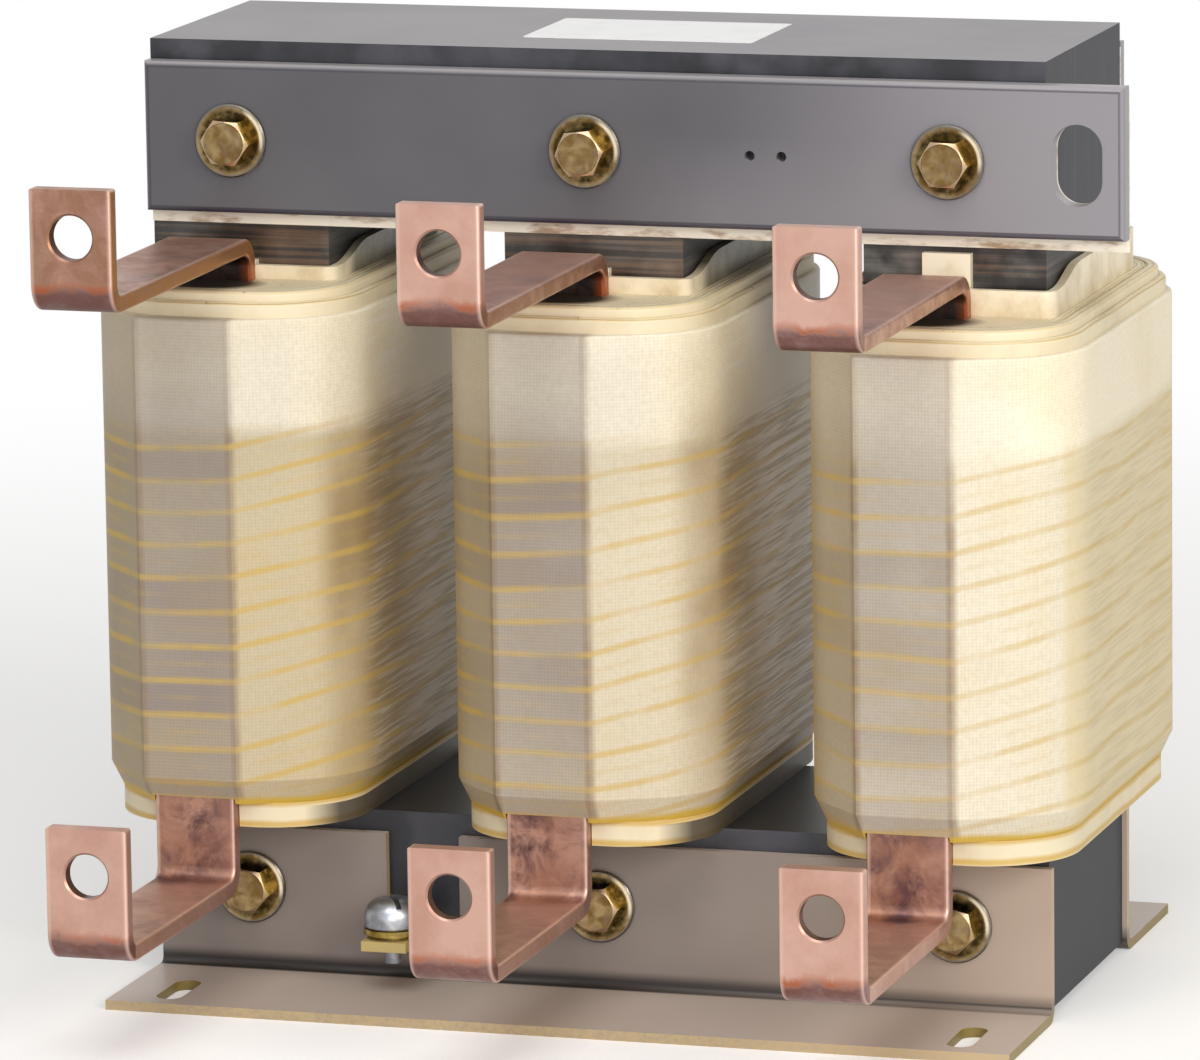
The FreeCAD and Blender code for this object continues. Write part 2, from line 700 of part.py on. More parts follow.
def makeBolt(label, side, level, seat, grip, turn):
    body = newBody(label)
    head = newSketch(body, "Head", "XZ")
    addHexagon(head, "bolt_flats")
    addPad(body, head, "bolt_head")
    cutCorners(body, "bolt_flats", [("-bolt_head", 1)])
    shank = newSketch(body, "Shank", "XZ")
    addCircle(shank, "0", "0", "bolt_diameter / 2")
    length = f"{grip} + nut_height + bolt_end"
    pad = addPad(body, shank, length, flip=True)
    tip = findEdges(pad, lambda edge: near(edge.CenterOfMass.y, length))
    addChamfer(body, tip, "bolt_tip")
    setPlace(body, x=f"{side} * {limbPitch}", y=seat, z=level)
    body.Placement.Rotation = Rotation(Vector(0, 1, 0), turn)
    return body


def makeNut(label, side, level, seat):
    body = newBody(label)
    outline = newSketch(body, "Outline", "XZ")
    addHexagon(outline, "bolt_flats")
    addPad(body, outline, "nut_height")
    cutCorners(body, "bolt_flats", [("-nut_height", 1), ("0", -1)])
    bore = newSketch(body, "Bore", "XZ")
    addCircle(bore, "0", "0", "bolt_diameter / 2 + fit_gap / 2")
    addPocket(body, bore)
    return setPlace(body, x=f"{side} * {limbPitch}", y=seat, z=level, turn=180)


def makeWasher(label, side, level, seat):
    body = newBody(label)
    face = newSketch(body, "Face", "XZ")
    addCircle(face, "0", "0", "washer_diameter / 2")
    addCircle(face, "0", "0", sleeveBore)
    pad = addPad(body, face, "washer_thickness")
    addChamfer(body, findEdges(pad, lambda edge: isRing(edge, "washer_diameter / 2")), "washer_edge")
    return setPlace(body, x=f"{side} * {limbPitch}", y=seat, z=level)


# For each row: its level, what is clamped on each face and how far each head is turned, in degrees
boltRows = {
    "upper": (upperBolts, "liner_thickness + bar_thickness", {"left": 4, "middle": -6, "right": 2}),
    "lower": ("foot_bolt_height", "foot_sheet", {"left": 10, "middle": -3, "right": 16}),
}
for row, (level, clamp, turns) in boltRows.items():
    for phase, side in phases.items():
        plate = f"({coreFace} + {clamp})"
        seat = f"({plate} + washer_thickness)"
        makeWasher(f"{phase}_{row}_front_washer", side, level, f"-{plate}")
        makeWasher(f"{phase}_{row}_back_washer", side, level, seat)
        makeBolt(f"{phase}_{row}_bolt", side, level, f"-{seat}", f"2 * {seat}", turns[phase])
        makeNut(f"{phase}_{row}_nut", side, level, seat)

sleeves = newBody("bolt_sleeves")
rings = newSketch(sleeves, "Rings", "XZ")
for level in (upperBolts, "foot_bolt_height"):
    for side in phases.values():
        addCircle(rings, f"{side} * {limbPitch}", level, sleeveBore)
        addCircle(rings, f"{side} * {limbPitch}", level, sleeveOuter)
addPad(sleeves, rings, "stack_depth", symmetric=True)
setPlace(sleeves)

# Earth terminal: a round-headed screw with its washer, on the tab of the front angle
earthX = f"{notchStart} + tab_width / 2"
earthY = f"-{coreFace} - tab_reach + earth_inset"

washer = newBody("earth_washer")
neck = newSketch(washer, "Neck", "XY")
addCircle(neck, "0", "0", "earth_neck_diameter / 2")
addPad(washer, neck, "earth_neck_height")
plate = newSketch(washer, "Plate", "XY", "earth_neck_height")
addCircle(plate, "0", "0", "earth_washer_diameter / 2")
addPad(washer, plate, "earth_washer_plate")
bore = newSketch(washer, "Bore", "XY")
addCircle(bore, "0", "0", "earth_diameter / 2 + fit_gap")
addPocket(washer, bore)
setPlace(washer, x=earthX, y=earthY, z="tab_top")

screw = newBody("earth_screw")
profile = newSketch(screw, "Profile", "XZ")
addOutline(profile, [
    ("0", "-earth_length", None),
    ("earth_diameter / 2", "-earth_length", None),
    ("earth_diameter / 2", "0", None),
    ("earth_head_diameter / 2", "0", "earth_head_edge"),
    ("earth_head_diameter / 2", "earth_head_height", "earth_head_crown"),
    ("0", "earth_head_height", None),
])
turned = screw.newObject("PartDesign::Revolution", "Turned")
turned.Profile = profile
turned.ReferenceAxis = (profile, ["V_Axis"])
turned.Angle = 360
doc.recompute()
drive = newSketch(screw, "DriveSlot", "XZ")
addBox(drive, "-earth_drive_width / 2", "earth_drive_width / 2",
       "earth_head_height - earth_drive_depth", f"earth_head_height + {beyond}")
addPocket(screw, drive)
slotTurn = 35                   # the drive slot as it was left, in degrees
setPlace(screw, x=earthX, y=earthY, z="tab_top + earth_neck_height + earth_washer_plate", turn=slotTurn)

# Every piece is checked before any is written
doc.recompute()
for item in doc.Objects:
    if "Invalid" in item.State or "Error" in item.State:
        raise RuntimeError(f"{item.Label} ({item.Name}) did not compute")
for part in parts:
    if part.Shape.isNull() or not part.Shape.isValid():
        raise RuntimeError(f"{part.Label} has no valid shape")
os.makedirs("parts", exist_ok=True)
for part in parts:
    part.Shape.exportStep(f"parts/{part.Label}.step")
    print(part.Label, len(part.Shape.Solids), round(part.Shape.Volume / 1000, 2), "cm3")
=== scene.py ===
import math
from functools import partial

import bmesh
import bpy
from mathutils import Matrix, Vector


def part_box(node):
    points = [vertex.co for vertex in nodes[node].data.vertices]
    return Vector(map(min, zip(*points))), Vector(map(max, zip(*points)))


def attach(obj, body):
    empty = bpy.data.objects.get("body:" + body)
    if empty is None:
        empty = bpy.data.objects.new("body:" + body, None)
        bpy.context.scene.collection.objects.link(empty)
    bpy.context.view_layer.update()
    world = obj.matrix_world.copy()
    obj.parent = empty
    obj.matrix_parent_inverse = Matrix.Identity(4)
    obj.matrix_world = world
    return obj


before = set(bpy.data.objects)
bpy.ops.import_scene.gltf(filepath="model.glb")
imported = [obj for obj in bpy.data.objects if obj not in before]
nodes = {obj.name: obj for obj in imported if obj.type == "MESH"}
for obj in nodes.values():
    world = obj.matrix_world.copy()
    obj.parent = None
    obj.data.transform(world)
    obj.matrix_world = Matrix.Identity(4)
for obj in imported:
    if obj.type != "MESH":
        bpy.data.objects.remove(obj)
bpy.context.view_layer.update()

mm = 0.001
phases = ("left", "middle", "right")
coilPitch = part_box("right_limb")[0][0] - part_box("middle_limb")[0][0]
midHeight = 150 * mm            # parts the upper leads, bolts and rims from the lower ones
lastGap = 80 * mm               # left of this the coils' right sides face a gap, right of it they don't


# Shared helpers
def linear(hexColour, alpha=1.0):
    # an sRGB hex colour as Blender's linear one
    channels = [int(hexColour[i:i + 2], 16) / 255 for i in (1, 3, 5)]
    return tuple(c / 12.92 if c <= 0.04045 else ((c + 0.055) / 1.055) ** 2.4 for c in channels) + (alpha,)


def addNode(tree, kind, inputs=None, output=0, **settings):
    # one node with its settings; an input is a number, a colour or another node's output
    node = tree.nodes.new("ShaderNode" + kind)
    for name, setting in settings.items():
        setattr(node, name, setting)
    for socket, given in (inputs or {}).items():
        if isinstance(given, bpy.types.NodeSocket):
            tree.links.new(given, node.inputs[socket])
        else:
            node.inputs[socket].default_value = given
    return node.outputs[output]


def startMaterial(name, roughness, metallic=0.0, ior=None):
    # gives the material and addNode for its own tree
    material = bpy.data.materials.new(name)
    material.use_nodes = True
    shader = material.node_tree.nodes["Principled BSDF"]
    shader.inputs["Roughness"].default_value = roughness
    shader.inputs["Metallic"].default_value = metallic
    if ior:
        shader.inputs["IOR"].default_value = ior
    return material, partial(addNode, material.node_tree)


def readPlace(add):
    # a point's place in metres, the same axis by axis, and its surface's direction axis by axis
    place, normal = add("TexCoord", output=3), add("NewGeometry", output=1)
    return place, *(add("SeparateXYZ", {0: vector}).node.outputs for vector in (place, normal))


def layOver(add, colour, settings, layers):
    # each layer is the name of its colour and the masks that, multiplied, say how much of it shows
    for name, mask, *others in layers:
        for other in others:
            mask = add("Math", {0: mask, 1: other}, operation="MULTIPLY")
        colour = add("Mix", {0: mask, 6: colour, 7: linear(settings[name])}, output=2, data_type="RGBA")
    return colour


def connect(material, outputs):
    # outputs stand under the names of the shader's sockets
    tree = material.node_tree
    for name, output in outputs.items():
        tree.links.new(output, tree.nodes["Principled BSDF"].inputs[name])


def dress(names, material):
    for name in names:
        mesh = nodes[name].data
        if not mesh.materials:
            mesh.materials.append(material)
        for slot in nodes[name].material_slots:
            slot.material = material


# Camera: the photograph's angle, with a natural lens and no shift
camera = {
    "azimuth": 17.24,           # degrees to the right of the front
    "elevation": 10.69,
    "roll": -0.8,
    "distance": 2.641,          # metres from the point looked at
    "lookAt": (-0.0132, 0.0, 0.1327),
    "lens": 262.4, "sensor": 36,    # mm
    "seesTo": 50,               # metres
}


def makeCamera(settings):
    azimuth, elevation, roll = (math.radians(settings[k]) for k in ("azimuth", "elevation", "roll"))
    back = Vector((math.sin(azimuth) * math.cos(elevation), -math.cos(azimuth) * math.cos(elevation),
                   math.sin(elevation)))
    level = Vector((math.cos(azimuth), math.sin(azimuth), 0))
    above = back.cross(level)
    right = level * math.cos(roll) + above * math.sin(roll)
    up = above * math.cos(roll) - level * math.sin(roll)
    view = bpy.data.objects.new("camera", bpy.data.cameras.new("camera"))
    view.matrix_world = Matrix((right, up, back)).transposed().to_4x4()
    view.location = Vector(settings["lookAt"]) + back * settings["distance"]
    view.data.lens = settings["lens"]
    view.data.sensor_width = settings["sensor"]
    view.data.clip_end = settings["seesTo"]
    bpy.context.collection.objects.link(view)
    bpy.context.scene.camera = view


makeCamera(camera)
print("camera made")

# Light: a soft box to the right, a weaker and larger one in front, one overhead
studio = {
    "lamps": {
        "key": {"place": (2.05, -1.6, 1.15), "size": 1.0, "watts": 29, "colour": "#fff9f0"},
        "fill": {"place": (0.95, -2.45, 0.7), "size": 1.4, "watts": 20, "colour": "#f8f8ff"},
        "top": {"place": (0.1, -1.2, 1.9), "size": 1.2, "watts": 16, "colour": "#ffffff"},
    },
    "aim": (0, 0, 0.14),
    "world": 0.3,               # what the white background adds to the light
}


def seenRays(add):
    # 1 for a ray that the eye sees, straight or in a reflection
    rays = add("LightPath").node.outputs
    return add("Math", {0: rays["Is Camera Ray"], 1: rays["Is Glossy Ray"]}, operation="MAXIMUM")


def makeLights(settings):
    for name, lamp in settings["lamps"].items():
        light = bpy.data.lights.new(name, "AREA")
        light.energy = lamp["watts"]
        light.size = lamp["size"]
        light.color = linear(lamp["colour"])[:3]
        holder = bpy.data.objects.new(name, light)
        holder.location = lamp["place"]
        aim = Vector(settings["aim"]) - Vector(lamp["place"])
        holder.rotation_euler = aim.to_track_quat("-Z", "Y").to_euler()
        bpy.context.collection.objects.link(holder)
    world = bpy.data.worlds.new("studio")
    world.use_nodes = True
    bpy.context.scene.world = world
    add = partial(addNode, world.node_tree)
    strength = add("MapRange", {0: seenRays(add), 3: settings["world"], 4: 1.0})
    background = world.node_tree.nodes["Background"]
    background.inputs["Color"].default_value = linear("#ffffff")
    world.node_tree.links.new(strength, background.inputs["Strength"])


makeLights(studio)

# Floor: matt white paper that fades into the white background and keeps the shadow
floor = {"half": 4.0, "fadeFrom": 0.25, "fadeTo": 1.1, "colour": "#eeedeb", "lift": 0.3,
         "roughness": 0.9, "specular": 0.1}


def makeFloor(settings):
    half = settings["half"]
    corners = [(-half, -half, 0), (half, -half, 0), (half, half, 0), (-half, half, 0)]
    mesh = bpy.data.meshes.new("floor")
    mesh.from_pydata(corners, [], [(0, 1, 2, 3)])
    sheet = bpy.data.objects.new("floor", mesh)
    bpy.context.collection.objects.link(sheet)
    material, add = startMaterial("matt_white_paper", settings["roughness"])
    tree = material.node_tree
    paper = tree.nodes["Principled BSDF"]
    paper.inputs["Base Color"].default_value = linear(settings["colour"])
    paper.inputs["Specular IOR Level"].default_value = settings["specular"]
    seen = seenRays(add)
    away = add("VectorMath", {0: add("TexCoord", output=3)}, output=1, operation="LENGTH")
    fade = add("MapRange", {0: away, 1: settings["fadeFrom"], 2: settings["fadeTo"]},
               interpolation_type="SMOOTHSTEP")
    fade = add("Math", {0: fade, 1: seen}, operation="MULTIPLY")
    lift = add("Math", {0: seen, 1: settings["lift"]}, operation="MULTIPLY")
    glow = add("Emission", {0: linear("#ffffff"), 1: lift})
    near = add("AddShader", {0: paper.outputs[0], 1: glow})
    far = add("Emission", {0: linear("#ffffff"), 1: 1.0})
    both = add("MixShader", {0: fade, 1: near, 2: far})
    tree.links.new(both, tree.nodes["Material Output"].inputs["Surface"])
    mesh.materials.append(material)


makeFloor(floor)
print("light and floor made")


# Core: punched electrical steel, stacked and dipped in dark varnish
core = {
    "varnish": "#3e3f47",       # dark blue-grey, the eye reads it as satin slate
    "shade": "#212227",         # painted shade on the ends and, in patches, on the front faces
    "worn": "#67656a",          # where the edges of the sheets show through
    "rust": "#4c4d56",          # only a paler bloom on the yokes
    "dust": "#8f898d",          # warm grey film on the upper yoke's top
    "dustAbove": 284,           # mm above the floor
    "low": "#191817",           # painted shade on the lower yoke's top, between the coils
    "sheet": 1.5,               # mm; real sheets are 0.5, drawn coarser so that they show
    "streaks": (71.43, 2.381, 71.43),   # mm, stretched along the sheets
    "cloudSize": 62.5, "smudgeSize": 13.333,
    "even": 0.0,                # how alike the sheets are
    "roughness": 0.4, "dull": 0.58,     # the cut ends are duller than the faces
}
# the limbs' fronts are bare edges of sheets, browned, under a thin coat; their pale streaks are partly
# painted reflection, and their darker shade is painted shade
limbs = {**core, "varnish": "#5a5651", "shade": "#24211f", "worn": "#b3aca1", "rust": "#75573e",
         "dust": "#645c55", "low": "#3a3431", "streaks": (83.33, 83.33, 1.923), "even": 0.8,
         "roughness": 0.35}


def makeCoreSteel(name, settings):
    material, add = startMaterial(name, settings["roughness"], ior=1.5)
    place, (x, y, z), (nx, ny, nz) = readPlace(add)
    # each sheet has a tone of its own
    sheets = add("Math", {0: y, 1: settings["sheet"] * mm}, operation="DIVIDE")
    sheets = add("Math", {0: sheets}, operation="FLOOR")
    tone = add("TexWhiteNoise", {"W": sheets}, noise_dimensions="1D")
    tone = add("MapRange", {0: tone, 3: settings["even"], 4: 1.0})
    stretched = add("VectorMath", {0: place, 1: [size * mm for size in settings["streaks"]]},
                    operation="DIVIDE")
    streak = add("TexNoise", {"Vector": stretched, "Scale": 1.0, "Detail": 3.0})
    cloud = add("TexNoise", {"Vector": place, "Scale": 1 / (settings["cloudSize"] * mm), "Detail": 4.0})
    patch = add("TexNoise", {"Vector": place, "Scale": 1 / (settings["smudgeSize"] * mm), "Detail": 3.0})
    edges = add("MapRange", {0: streak, 1: 0.42, 2: 0.68})
    ends = add("MapRange", {0: nx, 1: 0.5, 2: 0.9})
    # how much painted shade the ends get, more low down
    soaked = add("MapRange", {0: z, 1: 50 * mm, 2: 235 * mm, 3: 0.95, 4: 0.75})
    front = add("MapRange", {0: ny, 1: -0.4, 2: -0.9})
    smudge = add("MapRange", {0: patch, 1: 0.62, 2: 0.40, 3: 0.5, 4: 1.0})
    rusty = add("Math", {0: streak, 1: cloud}, operation="ADD")
    rusty = add("MapRange", {0: rusty, 1: 0.98, 2: 1.16, 4: 0.55})
    level = add("MapRange", {0: nz, 1: 0.5, 2: 0.95})
    high = add("Math", {0: z, 1: settings["dustAbove"] * mm}, operation="GREATER_THAN")
    notHigh = add("Math", {0: 1.0, 1: high}, operation="SUBTRACT")
    thick = add("MapRange", {0: cloud, 1: 0.3, 2: 0.6, 3: 0.62, 4: 0.9})
    # painted shade on the ends, the front faces and the lower yoke's top
    colour = layOver(add, linear(settings["varnish"]), settings, (
        ("worn", edges, tone), ("shade", ends, soaked), ("shade", front, smudge), ("rust", front, rusty),
        ("dust", level, high, thick), ("low", level, notHigh, 0.95)))
    relief = add("Math", {0: tone, 1: streak}, operation="ADD")
    connect(material, {
        "Base Color": colour,
        "Roughness": add("MapRange", {0: ends, 3: settings["roughness"], 4: settings["dull"]}),
        "Normal": add("Bump", {"Height": relief, "Strength": 0.3, "Distance": 0.12 * mm})})
    return material


# Paint on the bars and feet: a thin wet coat over rolled steel, with painted light on faces turned up and
# painted shade along the edges and on faces turned down
barPaint = {
    "colour": "#545357", "pale": "#5f5e62", "bright": "#8f8c90",
    "litFrom": 20, "litTo": 150,   # mm along the bar: painted light, paler towards its lifting slot at the right
    "litLowFrom": 262, "litLowTo": 240,    # mm up the bar: painted light, paler still low down on its right-hand part
    "ledge": "#a9a4a6",         # painted light on the faces turned upwards
    "fold": "#3b3842",          # painted shade: a dark line where the front faces turn onto the rounded edges
    # painted shade on the faces turned down
    "under": "#37344a",
    "cloudSize": 60, "grain": 1.2, "roughness": 0.36,
}
footPaint = {
    "colour": "#857b75", "pale": "#91877f", "bright": "#bba999",
    # painted light: the leg is paler towards the right
    "litFrom": 20, "litTo": 135,
    # painted light on faces turned up; painted shade along the edges and on faces turned down
    "ledge": "#d2c3b7", "fold": "#2f2a28", "under": "#5f5650",
    "cut": "#c4ae86",           # the toe's sheared edge and the ends, bare and browned
    "cutBelow": 2.98,           # mm above the floor, a hair less than the sheet
    "slot": "#8d7a40",          # the slots' walls, oily
    "tab": "#c6b272",           # the earth tab is left bare and plated
    "tabAbove": 14.5, "tabFront": (-48.5, -51.5),   # mm: the tab starts at the fold
    "dirt": "#221d1a",          # painted shade in the fold
    "darkBandHeight": (9, 4.8), "darkBandDepth": (52, 49.8),
    "cloudSize": 45, "grain": 1.2, "roughness": 0.42,
}


def makePaint(name, settings):
    material, add = startMaterial(name, settings["roughness"], ior=1.5)
    place, (x, y, z), (nx, ny, nz) = readPlace(add)
    cloud = add("TexNoise", {"Vector": place, "Scale": 1 / (settings["cloudSize"] * mm), "Detail": 4.0})
    grain = add("TexNoise", {"Vector": place, "Scale": 1 / (settings["grain"] * mm), "Detail": 1.0})
    # painted light, paler towards the right
    along = add("MapRange", {0: x, 1: settings["litFrom"] * mm, 2: settings["litTo"] * mm},
                interpolation_type="SMOOTHSTEP")
    layers = [("pale", add("MapRange", {0: cloud, 1: 0.35, 2: 0.68})), ("bright", along)]
    # more painted light low on the bar's right-hand part
    if "litLowFrom" in settings:
        litLow = add("MapRange", {0: z, 1: settings["litLowFrom"] * mm, 2: settings["litLowTo"] * mm, 4: 0.35})
        layers.append(("bright", litLow, add("MapRange", {0: x, 1: 0.0, 2: 40 * mm})))
    # painted light on faces turned up; painted shade on faces turned down and in a line along the front
    # faces' edges
    forward = add("Math", {0: ny}, operation="ABSOLUTE")
    layers += [("ledge", add("MapRange", {0: nz, 1: 0.45, 2: 0.85, 4: 0.85})),
               ("under", add("MapRange", {0: nz, 1: -0.2, 2: -0.6, 4: 0.8})),
               ("fold", add("MapRange", {0: forward, 1: 0.999, 2: 0.985}),
                add("MapRange", {0: forward, 1: 0.86, 2: 0.95}), 0.75)]
    if "cut" in settings:
        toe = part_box("back_foot_angle")[1][1] - 0.3 * mm
        depth, sideways, upward = (add("Math", {0: axis}, operation="ABSOLUTE") for axis in (y, nx, nz))
        outer = add("Math", {0: depth, 1: toe}, operation="GREATER_THAN")
        inner = add("MapRange", {0: depth, 1: toe, 2: toe - 1 * mm})
        low = add("Math", {0: z, 1: settings["cutBelow"] * mm}, operation="LESS_THAN")
        steep = add("MapRange", {0: upward, 1: 0.5, 2: 0.1})
        patchy = add("MapRange", {0: grain, 1: 0.3, 2: 0.6, 3: 0.7, 4: 1.0})
        ends = add("MapRange", {0: sideways, 1: 0.5, 2: 0.9, 4: 0.8})
        # painted shade at the leg's foot, in the fold, darker on the left
        above, below = (height * mm for height in settings["darkBandHeight"])
        near = add("MapRange", {0: z, 1: above, 2: below, 4: 0.97}, interpolation_type="SMOOTHSTEP")
        outside, inside = (reach * mm for reach in settings["darkBandDepth"])
        corner = add("MapRange", {0: depth, 1: outside, 2: inside}, interpolation_type="SMOOTHSTEP")
        left = add("MapRange", {0: x, 1: 120 * mm, 2: 0.0, 3: 0.6, 4: 1.0})
        raised = add("Math", {0: z, 1: settings["tabAbove"] * mm}, operation="GREATER_THAN")
        leg, tab = (reach * mm for reach in settings["tabFront"])
        layers += [("cut", low, outer, steep, patchy), ("cut", ends), ("dirt", near, corner, left),
                   ("slot", inner, low, steep), ("tab", raised, add("MapRange", {0: y, 1: leg, 2: tab}))]
    connect(material, {
        "Base Color": layOver(add, linear(settings["colour"]), settings, layers),
        "Roughness": add("MapRange", {0: cloud, 1: 0.3, 2: 0.7, 3: settings["roughness"] - 0.06,
                                      4: settings["roughness"] + 0.08}),
        "Normal": add("Bump", {"Height": grain, "Strength": 0.15, "Distance": 0.06 * mm})})
    return material


# Leads: drawn flat copper, pinkish with a soft sheen, browned at the bends and along the runs
copper = {
    # the last colour below is near black: patches on the lower leads' rear pieces, and painted shade behind
    # the upper ones
    "bright": "#d0a797", "dull": "#bd9281", "tarnish": "#8e5b38", "soot": "#5f4249", "char": "#0f0b09",
    "edge": "#ecccbd",          # painted highlight along the long edges
    "aged": "#8c6249",          # the left upper lead, handled most
    "glow": "#aa5426",          # orange oxide where the start leads were brazed
    "gold": "#b98450",          # the left upper lead's sides
    "hole": "#4a2a1d",          # painted shade on the holes' walls
    "drawLines": (0.5, 33.33, 33.33),   # mm: the lines that the die leaves
    "stainSize": 20,
    "axis": -6, "half": 12.5,   # mm: the strip's middle from its coil's axis, and half its width
    "startTongue": 36.2,        # mm from the run's underside to the tongue's end
    "holes": (22.2, 26.0),      # mm above the runs' undersides: start and finish
    "bend": 7.8,                # mm above them: where the tongue's bend begins
    "brazedFrom": -67.5, "brazedTo": -64.5,
    "roughness": 0.36,
}


def makeCopper(settings):
    material, add = startMaterial("drawn_flat_copper", settings["roughness"], metallic=0.7)
    place, (x, y, z), (nx, ny, nz) = readPlace(add)
    cloud = add("TexNoise", {"Vector": place, "Scale": 1 / (settings["stainSize"] * mm), "Detail": 5.0,
                             "Roughness": 0.62})
    stain = add("TexNoise", {"Vector": place, "Scale": 1.9 / (settings["stainSize"] * mm), "Detail": 5.0,
                             "Roughness": 0.7, "Distortion": 0.5})
    drawn = add("VectorMath", {0: place, 1: [size * mm for size in settings["drawLines"]]},
                operation="DIVIDE")
    lines = add("TexNoise", {"Vector": drawn, "Scale": 1.0, "Detail": 2.0})
    # place across the strip, and height above the underside of its own lead's run
    local = add("Math", {0: x, 1: settings["axis"] * mm}, operation="SUBTRACT")
    local = add("Math", {0: local, 1: coilPitch / 2, 2: -coilPitch / 2}, operation="WRAP")
    upper = add("Math", {0: z, 1: midHeight}, operation="GREATER_THAN")
    lower = add("Math", {0: 1.0, 1: upper}, operation="SUBTRACT")
    tops = [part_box(f"{phase}_start_lead")[1][2] for phase in phases]
    left, middle, right = (top - settings["startTongue"] * mm for top in tops)
    pastLeft = add("Math", {0: x, 1: -coilPitch / 2}, operation="GREATER_THAN")
    onLeft = add("Math", {0: 1.0, 1: pastLeft}, operation="SUBTRACT")
    pastMiddle = add("Math", {0: x, 1: coilPitch / 2}, operation="GREATER_THAN")
    run = add("MapRange", {0: pastLeft, 3: left, 4: middle})
    run = add("Mix", {0: pastMiddle, 2: run, 3: right}, data_type="FLOAT")
    run = add("Mix", {0: lower, 2: run, 3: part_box("left_finish_lead")[0][2]}, data_type="FLOAT")
    rise = add("Math", {0: z, 1: run}, operation="SUBTRACT")
    level = add("MapRange", {0: rise, 1: 8.5 * mm, 2: 6.5 * mm})
    sideways, off = (add("Math", {0: axis}, operation="ABSOLUTE") for axis in (nx, local))
    flank = add("MapRange", {0: sideways, 1: 0.5, 2: 0.9})
    top = add("MapRange", {0: nz, 1: 0.5, 2: 0.9})
    foremost = add("MapRange", {0: y, 1: -90 * mm, 2: -150 * mm, 3: 0.35, 4: 1.0})
    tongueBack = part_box("left_start_lead")[0][1] + 6 * mm
    tongue = add("Math", {0: y, 1: tongueBack}, operation="LESS_THAN")
    # a dark band with a rusty upper edge, where the tongue's bend was heated
    ragged = add("MapRange", {0: stain, 1: 0.25, 2: 0.75, 3: -2.6 * mm, 4: 2.6 * mm})
    ragged = add("Math", {0: rise, 1: ragged}, operation="ADD")
    band = add("MapRange", {0: ragged, 1: 8.2 * mm, 2: 5.4 * mm})
    seam = add("Math", {0: ragged, 1: settings["bend"] * mm}, operation="SUBTRACT")
    seam = add("MapRange", {0: add("Math", {0: seam}, operation="ABSOLUTE"), 1: 1.9 * mm, 2: 0.3 * mm})
    # smoke on the lower leads' upright rear pieces, with near-black patches; painted shade and orange oxide
    # behind the upper ones
    upright = add("MapRange", {0: y, 1: -94 * mm, 2: -86 * mm})
    smoked = (upright, lower, add("MapRange", {0: local, 1: 0.0, 2: 12 * mm, 3: 1.0, 4: 0.5}))
    drifting = add("MapRange", {0: cloud, 1: 0.62, 2: 0.44})
    night = add("MapRange", {0: cloud, 1: 0.42, 2: 0.32})
    # painted shade on the front faces of the upper leads' rear pieces, under their runs
    rearShade = add("MapRange", {0: ny, 1: -0.3, 2: -0.7})
    for mask in (upper, add("Math", {0: y, 1: -100 * mm}, operation="GREATER_THAN")):
        rearShade = add("Math", {0: rearShade, 1: mask}, operation="MULTIPLY")
    half = settings["half"]
    brazed = (add("MapRange", {0: y, 1: settings["brazedFrom"] * mm, 2: settings["brazedTo"] * mm}), upper,
              add("MapRange", {0: rise, 1: 1 * mm, 2: -4 * mm}),
              add("MapRange", {0: local, 1: (half - 4) * mm, 2: half * mm}))
    start, finish = (height * mm for height in settings["holes"])
    centre = add("Math", {0: rise, 1: add("MapRange", {0: upper, 3: finish, 4: start})}, operation="SUBTRACT")
    away = add("VectorMath", {0: add("CombineXYZ", {0: local, 1: centre})}, output=1, operation="LENGTH")
    # the holes' walls, which get painted shade
    bored = (add("MapRange", {0: away, 1: 7.4 * mm, 2: 6.9 * mm}), tongue,
             add("MapRange", {0: ny, 1: -0.8, 2: -0.3}))
    layers = [("dull", add("MapRange", {0: cloud, 1: 0.38, 2: 0.66}))]
    # every stain is patchy: it shows from least to most of itself
    patch = add("MapRange", {0: stain, 1: 0.38, 2: 0.6})
    for name, least, most, *masks in (
            ("aged", 0.5, 0.85, onLeft, upper),
            ("soot", 0.7, 1.0, band, tongue), ("tarnish", 0.0, 0.4, band, tongue),
            ("glow", 0.1, 0.8, seam, tongue),
            ("tarnish", 0.25, 0.75, flank, level, add("MapRange", {0: upper, 3: 0.3, 4: 1.0})),
            ("gold", 0.5, 0.9, flank, onLeft, upper),
            ("soot", 0.0, 0.4, top, level, foremost),
            ("tarnish", 0.45, 0.75, *smoked), ("soot", 0.0, 0.9, *smoked, drifting),
            # near-black patches on the lower rear pieces, and near-black painted shade behind the upper
            # tongues
            ("char", 0.5, 0.9, *smoked, night), ("char", 0.92, 1.0, rearShade),
            # painted shade on the holes' walls
            ("glow", 0.35, 0.9, *brazed), ("hole", 0.75, 1.0, *bored)):
        layers.append((name, *masks, add("MapRange", {0: patch, 3: least, 4: most})))
    # painted highlight along the long edges, kept off the flanks and the painted shade
    noHighlight = add("Math", {0: flank, 1: rearShade}, operation="MAXIMUM")
    layers.append(("edge", add("MapRange", {0: off, 1: (half - 1.6) * mm, 2: (half - 0.4) * mm, 4: 0.6}),
                   add("Math", {0: 1.0, 1: noHighlight}, operation="SUBTRACT")))
    connect(material, {
        "Base Color": layOver(add, linear(settings["bright"]), settings, layers),
        "Roughness": add("MapRange", {0: cloud, 1: 0.3, 2: 0.7, 3: settings["roughness"] - 0.06,
                                      4: settings["roughness"] + 0.14}),
        "Normal": add("Bump", {"Height": lines, "Strength": 0.2, "Distance": 0.05 * mm})})
    return material


